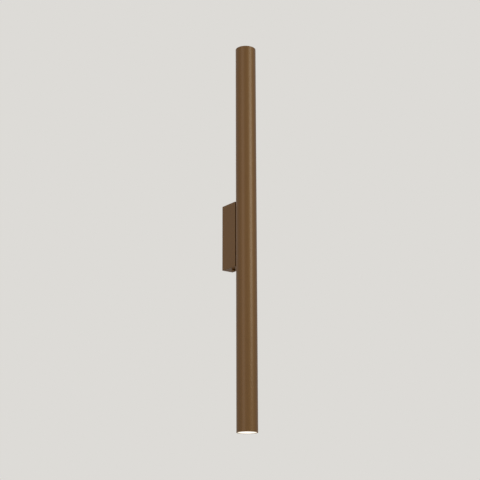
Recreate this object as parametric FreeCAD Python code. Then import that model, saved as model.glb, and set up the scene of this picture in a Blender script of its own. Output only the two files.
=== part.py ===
import FreeCAD, Part
import math
import os

# Tube wall light: an upright round tube, lit at both ends, on a slim box at mid-height.
# The light hooks over a notched bracket that stays on the wall.
# Frame: +Z up, +Y into the wall, +X to the right for someone who faces the wall.
# Origin: centre of the bracket's back face, which lies on the wall. Millimetres.

# Tube and wall box
TUBE_LENGTH = 765.0
TUBE_DIAMETER = 40.0
TUBE_WALL = 1.5
RIM_CHAMFER = 0.3
BOX_WIDTH = 25.0
BOX_DEPTH = 42.0
BOX_HEIGHT = 130.0
BOX_SHEET = 1.5
BOX_EDGE_RADIUS = 0.8

# Bracket on the wall
BRACKET_SHEET = 2.0
BRACKET_WIDTH = 21.0
BRACKET_BEND_RADIUS = 1.5
LUG_WIDTH = 15.0
LUG_CORNER_RADIUS = 2.5
LUG_SHOULDER_FROM_WALL = 7.0
LUG_GAP = 0.1
LUG_PAST_SCREW = 4.0
CLAMP_SCREW_FROM_WALL = 20.0
NOTCH_WIDTH = 4.6
SLOT_WIDTH = 4.5
SLOT_LENGTH = 12.0
SLOT_SPACING = 84.0
CABLE_HOLE_DIAMETER = 14.0
CABLE_BORE_DIAMETER = 9.0
GROMMET_LIP = 1.5
GROMMET_LIP_CHAMFER = 0.5
GROMMET_BEHIND = 0.2

# Fasteners: thread, head diameter, head height and, for a socket head, the width of its key
M4_CAP = (4.0, 7.0, 4.0, 3.0)
M3_LOW_CAP = (3.0, 5.5, 2.0, 2.0)
M4_PAN = (4.0, 7.0, 2.6)
M3_PAN = (3.0, 5.5, 2.0)
M4 = 4.0
M3 = 3.0
HEAD_CHAMFER = 0.4
SOCKET_FLOOR_SHARE = 0.45
THREAD_CLEARANCE = 0.05
HOLE_CLEARANCE = 0.3
PAST_NUT = 1.5
NUT_PLATE = (19.0, 10.0, 3.0)

# Joint between box and tube
SADDLE_WIDTH = 22.0
SADDLE_THICKNESS = 7.0
SADDLE_LOW = -24.0
SADDLE_HIGH = 36.0
SADDLE_SCREW_Z = 16.0
SADDLE_FIT = 0.05
SADDLE_SCREW_PAST = 0.5
BUSH_DIAMETER = 10.2
BUSH_BORE = 7.2
BUSH_FLANGE_DIAMETER = 14.0
BUSH_FLANGE = 1.2
BUSH_BARB = 0.4
BUSH_BARB_LENGTH = 2.0

# Terminals and earth inside the box
POLE_PITCH = 6.8
POLE_WIDTH = 6.2
TOWER_CHAMFER = 0.8
BLOCK_LENGTH = 17.0
BLOCK_BASE = 5.0
BLOCK_HEIGHT = 13.0
BLOCK_Z = -32.0
BLOCK_EAR = (8.0, 3.0, 7.5)
BLOCK_EAR_RADIUS = 2.5
BLOCK_STUD_BELOW = 4.0
BLOCK_STUD_LENGTH = 7.5
SLEEVE_SIDE = 4.2
SLEEVE_OPENING = 3.0
SLEEVE_INSET = 1.0
SLEEVE_FROM_BASE = 6.5
TERMINAL_SCREW_DIAMETER = 2.5
TERMINAL_SCREW_LENGTH = 3.5
TERMINAL_SCREW_OFFSET = 4.5
SCREWDRIVER_HOLE_DIAMETER = 3.0
EARTH_Z = 44.0
EARTH_STUD_LENGTH = 9.0
RING_DIAMETER = 8.0
RING_THICKNESS = 0.8
CRIMP_DIAMETER = 3.8
CRIMP_BORE = 2.2
CRIMP_LENGTH = 5.0
CRIMP_BELOW_STUD = 11.0
CRIMP_OFF_BOX = 1.9
RING_NECK_WIDTH = 3.2
M3_NUT = (5.5, 2.4)
M4_NUT = (7.0, 3.2)

# Driver inside the tube
DRIVER_WIDTH = 24.0
DRIVER_DEPTH = 18.0
DRIVER_LENGTH = 110.0
DRIVER_LOW = 62.0
DRIVER_EDGE_RADIUS = 2.0
DRIVER_SEAM = (0.8, 0.5)
DRIVER_BOSS = (16.0, 7.0, 3.0)
CARRIER_SHEET = 1.2
CARRIER_WIDTH = 22.0
CARRIER_LOW = 26.0
CARRIER_HIGH = 180.0
CARRIER_CORNER_RADIUS = 3.0
CARRIER_SCREW_X = 6.0
CARRIER_SCREW_Z = 29.0
CARRIER_SCREW_LENGTH = 5.5
TIE_WIDTH = 3.6
TIE_THICKNESS = 1.2
TIE_CORNER = 2.0
TIE_NOTCH_HEIGHT = 4.4
TIE_HEAD = (5.0, 4.0, 6.0)
TIE_HEAD_X = -6.0
TIE_HEIGHTS = (90.0, 145.0)

# Leads: their sections, and where their routes turn
LEAD_DIAMETER = 2.0
SLEEVED_LEAD_DIAMETER = 4.0
LEAD_SIDES = 8
BEND_SHARE = 0.45
LEAD_INTO_POLE = 3.0
LEAD_ABOVE_BLOCK = 6.5
LEAD_BESIDE_MIDDLE = 1.6
EARTH_BEHIND_BUSH = (-25.0, 1.0)
EARTH_ABOVE_BUSH_Z = 24.0
LEAD_INTO_CRIMP = 2.8
MODULE_LEAD_BESIDE_MIDDLE = 4.0
UPPER_LEAD_RISES = (30.0, 100.0)
LOWER_LEAD_RISE = 16.0
LOWER_LEAD_Y = -76.0
LOWER_LEAD_TURNS_Z = (-120.0, -240.0)

# Light module, measured inwards from the rim of the tube
DIFFUSER_RECESS = 0.3
DIFFUSER_THICKNESS = 2.5
DIFFUSER_DIAMETER = 36.4
DIFFUSER_CHAMFER = 0.4
FLANGE_FROM_RIM = 14.0
FLANGE_THICKNESS = 6.0
FLANGE_DIAMETER = 36.8
SEAT_FROM_RIM = 9.5
SEAT_DIAMETER = 33.2
SNAP_FROM_RIM = 12.0
SNAP_DEPTH = 0.35
SNAP_HALF_WIDTH = 0.5
FIN_COUNT = 12
FIN_ROOT = 2.0
FIN_TIP = 1.3
FIN_LENGTH = 40.0
FIN_DIAMETER = 35.6
CORE_DIAMETER = 13.0
LEAD_HOLE_DIAMETER = 6.0
MODULE_SCREW_LENGTH = 7.0
PAD_THICKNESS = 0.5
PAD_DIAMETER = 28.0
BOARD_THICKNESS = 1.6
BOARD_DIAMETER = 30.0
BOARD_SCREW_OFFSET = 11.5
BOARD_SCREW_LENGTH = 8.0
CHIP_COUNT = 6
CHIP_SIZE = (3.5, 3.5, 0.8)
CHIP_CIRCLE_DIAMETER = 18.0
SOCKET_SIZE = (9.0, 7.0, 3.0)
SOCKET_CORNER_RADIUS = 0.6
SOCKET_PIN_X = 2.0
SOCKET_WELL = (2.0, 2.4, 1.2)

# Worked out from the above
TUBE_RADIUS = TUBE_DIAMETER / 2
BORE_RADIUS = TUBE_RADIUS - TUBE_WALL
TUBE_Y = -(BOX_DEPTH + TUBE_RADIUS)
TUBE_BACK = TUBE_Y + TUBE_RADIUS
RIM_Z = TUBE_LENGTH / 2
BOX_FRONT = -BOX_DEPTH
BOX_INSIDE = BOX_FRONT + BOX_SHEET
BOX_TOP_INSIDE = BOX_HEIGHT / 2 - BOX_SHEET
LUG_OUTSIDE = BOX_TOP_INSIDE - LUG_GAP
LUG_INSIDE = LUG_OUTSIDE - BRACKET_SHEET
LUG_REACH = CLAMP_SCREW_FROM_WALL + LUG_PAST_SCREW
SADDLE_FACE = TUBE_Y + BORE_RADIUS - SADDLE_THICKNESS
CARRIER_FACE = SADDLE_FACE - CARRIER_SHEET
DRIVER_Y = CARRIER_FACE - DRIVER_DEPTH / 2
DRIVER_HIGH = DRIVER_LOW + DRIVER_LENGTH
BLOCK_LOW = BLOCK_Z - BLOCK_LENGTH / 2
BLOCK_HIGH = BLOCK_Z + BLOCK_LENGTH / 2
BLOCK_STUD_Z = BLOCK_LOW - BLOCK_STUD_BELOW
SLEEVE_Y = BOX_INSIDE + SLEEVE_FROM_BASE
POLES_X = (-POLE_PITCH, 0.0, POLE_PITCH)
TERMINAL_SCREWS_Z = (BLOCK_Z - TERMINAL_SCREW_OFFSET, BLOCK_Z + TERMINAL_SCREW_OFFSET)
CRIMP_Y = BOX_INSIDE + CRIMP_OFF_BOX
CRIMP_LOW = EARTH_Z - CRIMP_BELOW_STUD
MODULE_SCREW_FROM_RIM = FLANGE_FROM_RIM + FLANGE_THICKNESS / 2
FIN_START_FROM_RIM = FLANGE_FROM_RIM + FLANGE_THICKNESS
FIN_END_FROM_RIM = FIN_START_FROM_RIM + FIN_LENGTH
BOARD_TOP_FROM_RIM = SEAT_FROM_RIM - PAD_THICKNESS - BOARD_THICKNESS
BOARD_TOP_Z = RIM_Z - BOARD_TOP_FROM_RIM
LEAD_TURN_Z = BLOCK_HIGH + LEAD_ABOVE_BLOCK
DRIVER_TOP_BOSS_Z = DRIVER_HIGH + DRIVER_BOSS[2]

X = FreeCAD.Vector(1, 0, 0)
Y = FreeCAD.Vector(0, 1, 0)
Z = FreeCAD.Vector(0, 0, 1)
TINY = 0.01
PAST = 1.0


def point(x, y, z):
    return FreeCAD.Vector(x, y, z)


def both(half):
    return (-half, half)


def block(x, y, z):
    """A box between two limits along each axis, given as pairs in any order."""
    low = [min(pair) for pair in (x, y, z)]
    sides = [abs(pair[1] - pair[0]) for pair in (x, y, z)]
    return Part.makeBox(*sides, point(*low))


def rod(diameter, start, direction, length):
    return Part.makeCylinder(diameter / 2, length, start, direction)


def face_of(corners):
    return Part.Face(Part.makePolygon(corners + corners[:1]))


def turned(profile, start, axis):
    """A solid of revolution. The profile is a closed list of (radius, height along the axis)."""
    side = X if abs(axis.dot(X)) < 0.5 else Z
    corners = [start + side * radius + axis * height for radius, height in profile]
    return face_of(corners).revolve(start, axis, 360)


def edges_along(shape, direction, chosen=lambda middle: True):
    """The shape's straight edges that run along a direction and whose middle is chosen."""
    found = []
    for edge in shape.Edges:
        span = edge.Vertexes[-1].Point - edge.Vertexes[0].Point
        if span.Length > TINY > span.cross(direction).Length and chosen(edge.CenterOfMass):
            found.append(edge)
    return found


def regular_face(sides, corner_radius, centre, axis):
    """A flat regular polygon across an axis that is X, Y or Z."""
    side = X if abs(axis.dot(X)) < 0.5 else Z
    other = axis.cross(side)
    turns = [2 * math.pi * step / sides for step in range(sides)]
    spokes = [side * math.cos(turn) + other * math.sin(turn) for turn in turns]
    return face_of([centre + spoke * corner_radius for spoke in spokes])


def hexagon(across_flats, start, axis, height):
    return regular_face(6, across_flats / math.sqrt(3), start, axis).extrude(axis * height)


def cap_screw(size, seat, axis, length):
    """A socket-head screw: chamfered head on the seat, shank the other way, hexagon socket in the head."""
    thread, head, height, key = size
    shank = thread / 2 - THREAD_CLEARANCE
    profile = [(0, -length), (shank, -length), (shank, 0), (head / 2, 0), (head / 2, height - HEAD_CHAMFER),
               (head / 2 - HEAD_CHAMFER, height), (0, height)]
    socket = hexagon(key, seat + axis * height * SOCKET_FLOOR_SHARE, axis, height)
    return turned(profile, seat, axis).cut(socket)


def pan_screw(size, seat, axis, length):
    """A screw with a plain round head on the seat and its shank the other way."""
    thread, head, height = size
    shank = rod(thread - 2 * THREAD_CLEARANCE, seat - axis * length, axis, length + TINY)
    return rod(head, seat, axis, height).fuse(shank)


def nut(thread, size, seat, axis):
    across_flats, height = size
    return hexagon(across_flats, seat, axis, height).cut(rod(thread, seat - axis, axis, height + 2 * PAST))


def lead(diameter, route):
    """A lead of eight sides: straight runs joined by tangent bends, each as large as its runs allow.

    The section travels along the route, so that each run and bend starts on the end of the last one.
    """
    section = regular_face(LEAD_SIDES, diameter / 2, route[0], (route[1] - route[0]).normalize())
    at = route[0]
    length = 0
    pieces = []
    for before, corner, after in zip(route, route[1:], route[2:]):
        back = (before - corner).normalize()
        ahead = (after - corner).normalize()
        reach = BEND_SHARE * min((before - corner).Length, (after - corner).Length)
        half_turn = (math.pi - back.getAngle(ahead)) / 2
        radius = reach / math.tan(half_turn)
        centre = corner + (back + ahead).normalize() * (radius / math.cos(half_turn))
        run = corner + back * reach - at
        pieces.append(section.extrude(run))
        section.translate(run)
        axis = back.cross(at + run - centre)
        pieces.append(section.revolve(centre, axis, math.degrees(2 * half_turn)))
        section.rotate(centre, axis, math.degrees(2 * half_turn))
        length += run.Length + 2 * half_turn * radius
        at = corner + ahead * reach
        print("bend radius", round(radius, 1))
    last_run = route[-1] - at
    pieces.append(section.extrude(last_run))
    length += last_run.Length
    whole = pieces[0].fuse(pieces[1:])
    print("lead", round(length, 1), "mm, volume over section times length",
          round(whole.Volume / (section.Area * length), 4))
    return whole


# On the wall

def wall_bracket():
    """A strip folded to a shallow U. Its lugs are notched from the front for the clamp screws."""
    half = BRACKET_WIDTH / 2
    outside = block(both(half), (-LUG_REACH, 0), both(LUG_OUTSIDE))
    outer_bends = edges_along(outside, X, lambda middle: middle.y > -TINY)
    outside = outside.makeFillet(BRACKET_BEND_RADIUS + BRACKET_SHEET, outer_bends)
    inside = block(both(half + PAST), (-LUG_REACH - PAST, -BRACKET_SHEET), both(LUG_INSIDE))
    inner_bends = edges_along(inside, X, lambda middle: middle.y > -BRACKET_SHEET - TINY)
    bracket = outside.cut(inside.makeFillet(BRACKET_BEND_RADIUS, inner_bends))
    for side in (-1, 1):
        shoulder = (side * LUG_WIDTH / 2, side * (half + PAST))
        bracket = bracket.cut(block(shoulder, (-LUG_REACH - PAST, -LUG_SHOULDER_FROM_WALL), both(BOX_HEIGHT)))
    lug_corners = edges_along(bracket, Z, lambda middle: middle.y < -LUG_REACH + TINY)
    bracket = bracket.makeFillet(LUG_CORNER_RADIUS, lug_corners)
    notch = block(both(NOTCH_WIDTH / 2), (-LUG_REACH - PAST, -CLAMP_SCREW_FROM_WALL), both(BOX_HEIGHT))
    notch_end = rod(NOTCH_WIDTH, point(0, -CLAMP_SCREW_FROM_WALL, -BOX_HEIGHT), Z, 2 * BOX_HEIGHT)
    cable_hole = rod(CABLE_HOLE_DIAMETER, point(0, PAST, 0), -Y, BRACKET_SHEET + 2 * PAST)
    slots = [slot(z) for z in both(SLOT_SPACING / 2)]
    return bracket.cut([notch.fuse(notch_end), cable_hole] + slots)


def slot(z):
    """An upright slot through the bracket, for one wall screw."""
    straight = (SLOT_LENGTH - SLOT_WIDTH) / 2
    depth = BRACKET_SHEET + 2 * PAST
    middle = block(both(SLOT_WIDTH / 2), (-BRACKET_SHEET - PAST, PAST), (z - straight, z + straight))
    ends = [rod(SLOT_WIDTH, point(0, PAST, z + side * straight), -Y, depth) for side in (-1, 1)]
    return middle.fuse(ends)


def cable_grommet():
    """A rubber bush pushed into the cable hole from the front, its lip chamfered."""
    hole = CABLE_HOLE_DIAMETER / 2 - THREAD_CLEARANCE
    bore = CABLE_BORE_DIAMETER / 2
    lip = hole + GROMMET_LIP
    front = BRACKET_SHEET + GROMMET_LIP
    profile = [(bore, GROMMET_BEHIND), (hole, GROMMET_BEHIND), (hole, BRACKET_SHEET), (lip, BRACKET_SHEET),
               (lip, front - GROMMET_LIP_CHAMFER), (lip - GROMMET_LIP_CHAMFER, front), (bore, front)]
    return turned(profile, point(0, 0, 0), -Y)


# Wall box and its clamp

def front_holes(start_y, depth):
    """What the bush and the two saddle screws pass through, from one plane towards the wall."""
    holes = [rod(BUSH_DIAMETER + HOLE_CLEARANCE, point(0, start_y, 0), Y, depth)]
    for z in both(SADDLE_SCREW_Z):
        holes.append(rod(M4 + HOLE_CLEARANCE, point(0, start_y, z), Y, depth))
    return holes


def wall_box():
    """A shell folded and welded from sheet, open towards the wall."""
    half = BOX_WIDTH / 2
    outside = block(both(half), (BOX_FRONT, 0), both(BOX_HEIGHT / 2))
    off_wall = [edge for edge in outside.Edges if edge.CenterOfMass.y < -TINY]
    outside = outside.makeFillet(BOX_EDGE_RADIUS, off_wall)
    inside = block(both(half - BOX_SHEET), (BOX_INSIDE, PAST), both(BOX_TOP_INSIDE))
    clamp_holes = rod(M4 + HOLE_CLEARANCE, point(0, -CLAMP_SCREW_FROM_WALL, -BOX_HEIGHT), Z, 2 * BOX_HEIGHT)
    return outside.cut([inside, clamp_holes] + front_holes(BOX_FRONT - PAST, BOX_SHEET + 2 * PAST))


def clamp_screws():
    """Two screws, through the top and the bottom of the box, the lug's notch and the nut plate."""
    length = BOX_SHEET + LUG_GAP + BRACKET_SHEET + LUG_GAP + NUT_PLATE[2] + PAST_NUT
    screws = []
    for up in (1, -1):
        seat = point(0, -CLAMP_SCREW_FROM_WALL, up * BOX_HEIGHT / 2)
        screws.append(cap_screw(M4_CAP, seat, Z * up, length))
    return Part.makeCompound(screws)


def clamp_nut_plates():
    """Two oblong nuts under the lugs. The sides of the box keep them from turning."""
    width, depth, height = NUT_PLATE
    plates = []
    for up in (1, -1):
        face = up * (LUG_INSIDE - LUG_GAP)
        y = (-CLAMP_SCREW_FROM_WALL - depth / 2, -CLAMP_SCREW_FROM_WALL + depth / 2)
        plate = block(both(width / 2), y, (face, face - up * height))
        thread = rod(M4, point(0, -CLAMP_SCREW_FROM_WALL, face + up * PAST), Z * -up, height + 2 * PAST)
        plates.append(plate.cut(thread))
    return Part.makeCompound(plates)


# Joint between box and tube

def tube():
    """The tube, with both rims lightly chamfered, drilled at the back for the saddle and the modules."""
    profile = [(BORE_RADIUS + RIM_CHAMFER, -RIM_Z), (TUBE_RADIUS - RIM_CHAMFER, -RIM_Z),
               (TUBE_RADIUS, -RIM_Z + RIM_CHAMFER), (TUBE_RADIUS, RIM_Z - RIM_CHAMFER),
               (TUBE_RADIUS - RIM_CHAMFER, RIM_Z), (BORE_RADIUS + RIM_CHAMFER, RIM_Z),
               (BORE_RADIUS, RIM_Z - RIM_CHAMFER), (BORE_RADIUS, -RIM_Z + RIM_CHAMFER)]
    shell = turned(profile, point(0, TUBE_Y, 0), Z)
    holes = front_holes(TUBE_Y, TUBE_RADIUS + PAST)
    for z in both(RIM_Z - MODULE_SCREW_FROM_RIM):
        holes.append(rod(M3 + HOLE_CLEARANCE, point(0, TUBE_Y, z), Y, TUBE_RADIUS + PAST))
    return shell.cut(holes)


def tube_saddle():
    """A threaded block inside the tube, round at the back to fit the bore and flat in front."""
    height = SADDLE_HIGH - SADDLE_LOW
    bar = rod(2 * (BORE_RADIUS - SADDLE_FIT), point(0, TUBE_Y, SADDLE_LOW), Z, height)
    saddle = bar.common(block(both(SADDLE_WIDTH / 2), (SADDLE_FACE, 0), (SADDLE_LOW, SADDLE_HIGH)))
    depth = SADDLE_THICKNESS + 2 * PAST
    holes = [rod(BUSH_DIAMETER + HOLE_CLEARANCE, point(0, SADDLE_FACE - PAST, 0), Y, depth)]
    for z in both(SADDLE_SCREW_Z):
        holes.append(rod(M4, point(0, SADDLE_FACE - PAST, z), Y, depth))
    for x in both(CARRIER_SCREW_X):
        holes.append(rod(M3, point(x, SADDLE_FACE - PAST, CARRIER_SCREW_Z), Y, CARRIER_SCREW_LENGTH + PAST))
    return saddle.cut(holes)


def saddle_screws():
    """Two screws, from inside the box through its front and the tube into the saddle."""
    length = BOX_INSIDE - SADDLE_FACE + SADDLE_SCREW_PAST
    seats = [point(0, BOX_INSIDE, z) for z in both(SADDLE_SCREW_Z)]
    return Part.makeCompound([pan_screw(M4_PAN, seat, Y, length) for seat in seats])


def wire_bush():
    """A nylon bush that carries the leads through box, tube and saddle, snapped behind the saddle."""
    outer = BUSH_DIAMETER / 2
    bore = BUSH_BORE / 2
    flange = BUSH_FLANGE_DIAMETER / 2
    barb = BOX_INSIDE - SADDLE_FACE + TINY
    end = barb + BUSH_BARB_LENGTH
    profile = [(bore, -BUSH_FLANGE), (flange, -BUSH_FLANGE), (flange, 0), (outer, 0), (outer, barb),
               (outer + BUSH_BARB, barb), (outer - BUSH_BARB, end), (bore, end)]
    return turned(profile, point(0, BOX_INSIDE, 0), -Y)


# Terminals and earth inside the box

def terminal_block():
    """A three-pole block: a tower for each pole, a square channel in each, and a fixing ear."""
    half = POLE_PITCH + POLE_WIDTH / 2
    body = block(both(half), (BOX_INSIDE, BOX_INSIDE + BLOCK_BASE), (BLOCK_LOW, BLOCK_HIGH))
    top = BOX_INSIDE + BLOCK_HEIGHT
    for x in POLES_X:
        tower = block((x - POLE_WIDTH / 2, x + POLE_WIDTH / 2), (BOX_INSIDE, top), (BLOCK_LOW, BLOCK_HIGH))
        top_edges = [edge for edge in tower.Edges if edge.CenterOfMass.y > top - TINY]
        body = body.fuse(tower.makeChamfer(TOWER_CHAMFER, top_edges))
    ear_width, ear_thickness, ear_length = BLOCK_EAR
    ear_end = BLOCK_LOW - ear_length
    ear = block(both(ear_width / 2), (BOX_INSIDE, BOX_INSIDE + ear_thickness), (ear_end, BLOCK_LOW + TINY))
    ear_corners = edges_along(ear, Y, lambda middle: middle.z < ear_end + TINY)
    body = body.fuse(ear.makeFillet(BLOCK_EAR_RADIUS, ear_corners))
    cuts = [rod(M3 + HOLE_CLEARANCE, point(0, BOX_INSIDE - PAST, BLOCK_STUD_Z), Y, ear_thickness + 2 * PAST)]
    for x in POLES_X:
        cuts.append(square_bar(x, SLEEVE_SIDE, BLOCK_LOW - PAST, BLOCK_HIGH + PAST))
        for z in TERMINAL_SCREWS_Z:
            cuts.append(rod(SCREWDRIVER_HOLE_DIAMETER, point(x, SLEEVE_Y, z), Y, BLOCK_HEIGHT))
    return body.cut(cuts).removeSplitter()


def square_bar(x, side, low, high):
    """An upright bar of square section, centred on a pole of the block."""
    return block((x - side / 2, x + side / 2), (SLEEVE_Y - side / 2, SLEEVE_Y + side / 2), (low, high))


def terminal_sleeves():
    """Three square brass sleeves, one in each pole, threaded from the front for two clamping screws."""
    low = BLOCK_LOW + SLEEVE_INSET
    high = BLOCK_HIGH - SLEEVE_INSET
    sleeves = []
    for x in POLES_X:
        sleeve = square_bar(x, SLEEVE_SIDE - 2 * THREAD_CLEARANCE, low, high)
        cuts = [square_bar(x, SLEEVE_OPENING, low - PAST, high + PAST)]
        for z in TERMINAL_SCREWS_Z:
            cuts.append(rod(TERMINAL_SCREW_DIAMETER, point(x, SLEEVE_Y, z), Y, SLEEVE_SIDE))
        sleeves.append(sleeve.cut(cuts))
    return Part.makeCompound(sleeves)


def terminal_screws():
    """Two headless clamping screws for each pole."""
    screws = []
    for x in POLES_X:
        for z in TERMINAL_SCREWS_Z:
            tip = point(x, SLEEVE_Y + SLEEVE_OPENING / 2, z)
            screws.append(rod(TERMINAL_SCREW_DIAMETER - 2 * THREAD_CLEARANCE, tip, Y, TERMINAL_SCREW_LENGTH))
    return Part.makeCompound(screws)


def block_stud():
    """A welded stud that holds the terminal block."""
    return rod(M3 - 2 * THREAD_CLEARANCE, point(0, BOX_INSIDE, BLOCK_STUD_Z), Y, BLOCK_STUD_LENGTH)


def block_nut():
    return nut(M3, M3_NUT, point(0, BOX_INSIDE + BLOCK_EAR[1], BLOCK_STUD_Z), Y)


def earth_stud():
    """A welded stud for the earth lead."""
    return rod(M4 - 2 * THREAD_CLEARANCE, point(0, BOX_INSIDE, EARTH_Z), Y, EARTH_STUD_LENGTH)


def earth_nut():
    return nut(M4, M4_NUT, point(0, BOX_INSIDE + RING_THICKNESS, EARTH_Z), Y)


def earth_ring_terminal():
    """A crimped ring terminal: a flat ring on the stud, a neck and a barrel round the lead."""
    ring = rod(RING_DIAMETER, point(0, BOX_INSIDE, EARTH_Z), Y, RING_THICKNESS)
    neck = block(both(RING_NECK_WIDTH / 2), (BOX_INSIDE, BOX_INSIDE + RING_THICKNESS),
                 (CRIMP_LOW + CRIMP_LENGTH / 2, EARTH_Z))
    barrel = rod(CRIMP_DIAMETER, point(0, CRIMP_Y, CRIMP_LOW), Z, CRIMP_LENGTH)
    lead_hole = rod(CRIMP_BORE, point(0, CRIMP_Y, CRIMP_LOW - PAST), Z, CRIMP_LENGTH - PAST)
    stud_hole = rod(M4 + HOLE_CLEARANCE, point(0, BOX_INSIDE - PAST, EARTH_Z), Y, RING_THICKNESS + 2 * PAST)
    return ring.fuse([neck, barrel]).cut([stud_hole, lead_hole]).removeSplitter()


def earth_lead():
    """From the middle pole, behind the bush, to the ring terminal."""
    behind_bush_y, behind_bush_z = EARTH_BEHIND_BUSH
    route = [point(0, SLEEVE_Y, BLOCK_HIGH - LEAD_INTO_POLE), point(0, SLEEVE_Y, LEAD_TURN_Z),
             point(0, behind_bush_y, behind_bush_z), point(0, CRIMP_Y, EARTH_ABOVE_BUSH_Z),
             point(0, CRIMP_Y, CRIMP_LOW + LEAD_INTO_CRIMP)]
    return lead(LEAD_DIAMETER, route)


def supply_lead(side):
    """Live and neutral, one on each side: from its pole through the bush to the driver."""
    pole = side * POLE_PITCH
    beside = side * LEAD_BESIDE_MIDDLE
    route = [point(pole, SLEEVE_Y, BLOCK_HIGH - LEAD_INTO_POLE), point(pole, SLEEVE_Y, LEAD_TURN_Z),
             point(beside, SLEEVE_Y, 0), point(beside, DRIVER_Y, 0),
             point(beside, DRIVER_Y, DRIVER_LOW - DRIVER_BOSS[2])]
    return lead(LEAD_DIAMETER, route)


# Driver inside the tube

def driver_carrier():
    """A flat strip, screwed to the saddle, that carries the driver up the tube."""
    half = CARRIER_WIDTH / 2
    strip = block(both(half), (CARRIER_FACE, SADDLE_FACE), (CARRIER_LOW, CARRIER_HIGH))
    strip = strip.makeFillet(CARRIER_CORNER_RADIUS, edges_along(strip, Y))
    cuts = []
    for x in both(CARRIER_SCREW_X):
        start = point(x, CARRIER_FACE - PAST, CARRIER_SCREW_Z)
        cuts.append(rod(M3 + HOLE_CLEARANCE, start, Y, CARRIER_SHEET + 2 * PAST))
    for z in TIE_HEIGHTS:
        across = (z - TIE_NOTCH_HEIGHT / 2, z + TIE_NOTCH_HEIGHT / 2)
        for side in (-1, 1):
            edge = (side * (half - TIE_THICKNESS), side * (half + PAST))
            cuts.append(block(edge, (CARRIER_FACE - PAST, SADDLE_FACE + PAST), across))
    return strip.cut(cuts)


def carrier_screws():
    seats = [point(x, CARRIER_FACE, CARRIER_SCREW_Z) for x in both(CARRIER_SCREW_X)]
    return Part.makeCompound([pan_screw(M3_PAN, seat, -Y, CARRIER_SCREW_LENGTH) for seat in seats])


def led_driver():
    """The driver's moulded case, rounded along its length, with a boss round each pair of leads."""
    half = DRIVER_WIDTH / 2
    case = block(both(half), (CARRIER_FACE - DRIVER_DEPTH, CARRIER_FACE), (DRIVER_LOW, DRIVER_HIGH))
    case = case.makeFillet(DRIVER_EDGE_RADIUS, edges_along(case, Z))
    seam_width, seam_depth = DRIVER_SEAM
    seam = (DRIVER_Y - seam_width / 2, DRIVER_Y + seam_width / 2)
    for side in (-1, 1):
        groove = (side * (half - seam_depth), side * (half + PAST))
        case = case.cut(block(groove, seam, (DRIVER_LOW - PAST, DRIVER_HIGH + PAST)))
    boss_width, boss_depth, boss_height = DRIVER_BOSS
    for z in ((DRIVER_LOW - boss_height, DRIVER_LOW + TINY), (DRIVER_HIGH - TINY, DRIVER_HIGH + boss_height)):
        boss = block(both(boss_width / 2), (DRIVER_Y - boss_depth / 2, DRIVER_Y + boss_depth / 2), z)
        case = case.fuse(boss.makeChamfer(DRIVER_EDGE_RADIUS, edges_along(boss, Z)))
    return case.removeSplitter()


def driver_ties():
    """Two nylon ties round the driver and its carrier, each with its square head in front."""
    half = DRIVER_WIDTH / 2
    front = CARRIER_FACE - DRIVER_DEPTH
    head_width, head_depth, head_height = TIE_HEAD
    ties = []
    for z in TIE_HEIGHTS:
        outer = block(both(half + TIE_THICKNESS), (front - TIE_THICKNESS, SADDLE_FACE + TIE_THICKNESS),
                      (z - TIE_WIDTH / 2, z + TIE_WIDTH / 2))
        outer = outer.makeChamfer(TIE_CORNER, edges_along(outer, Z))
        inner = block(both(half), (front, SADDLE_FACE), (z - TIE_WIDTH, z + TIE_WIDTH))
        inner = inner.makeChamfer(TIE_CORNER / 2, edges_along(inner, Z))
        head = block((TIE_HEAD_X - head_width / 2, TIE_HEAD_X + head_width / 2),
                     (front - head_depth, front - TINY), (z - head_height / 2, z + head_height / 2))
        ties.append(outer.fuse(head).cut(inner))
    return Part.makeCompound(ties)


def upper_lead():
    """Sleeved pair from the driver up the tube into the upper module."""
    first_rise, second_rise = UPPER_LEAD_RISES
    beside = MODULE_LEAD_BESIDE_MIDDLE
    start_z = DRIVER_TOP_BOSS_Z
    route = [point(beside, DRIVER_Y, start_z), point(beside, DRIVER_Y, start_z + first_rise),
             point(0, TUBE_Y, start_z + second_rise), point(0, TUBE_Y, BOARD_TOP_Z)]
    return lead(SLEEVED_LEAD_DIAMETER, route)


def lower_lead():
    """Sleeved pair that turns back at the driver's top and runs down the front of the bore."""
    turn_back_z = DRIVER_TOP_BOSS_Z + LOWER_LEAD_RISE
    first_turn_z, second_turn_z = LOWER_LEAD_TURNS_Z
    beside = -MODULE_LEAD_BESIDE_MIDDLE
    route = [point(beside, DRIVER_Y, DRIVER_TOP_BOSS_Z), point(beside, DRIVER_Y, turn_back_z),
             point(0, LOWER_LEAD_Y, turn_back_z), point(0, LOWER_LEAD_Y, first_turn_z),
             point(0, TUBE_Y, second_turn_z), point(0, TUBE_Y, -BOARD_TOP_Z)]
    return lead(SLEEVED_LEAD_DIAMETER, route)


# Light module, drawn for the upper end and mirrored for the lower one

def from_rim(distance):
    return RIM_Z - distance


def fin_star():
    """Radial fins, tapered from root to tip and turned round on the outside."""
    tip = FIN_DIAMETER / 2 + PAST
    corners = [point(0, -FIN_ROOT / 2, 0), point(tip, -FIN_TIP / 2, 0), point(tip, FIN_TIP / 2, 0),
               point(0, FIN_ROOT / 2, 0)]
    fins = []
    for step in range(FIN_COUNT):
        fin = face_of(corners).extrude(Z * (FIN_LENGTH + TINY))
        fin.rotate(point(0, 0, 0), Z, 360 * (step + 0.5) / FIN_COUNT)
        fins.append(fin)
    star = fins[0].fuse(fins[1:]).common(rod(FIN_DIAMETER, point(0, 0, 0), Z, FIN_LENGTH + TINY))
    star.translate(point(0, TUBE_Y, from_rim(FIN_END_FROM_RIM)))
    return star


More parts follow.
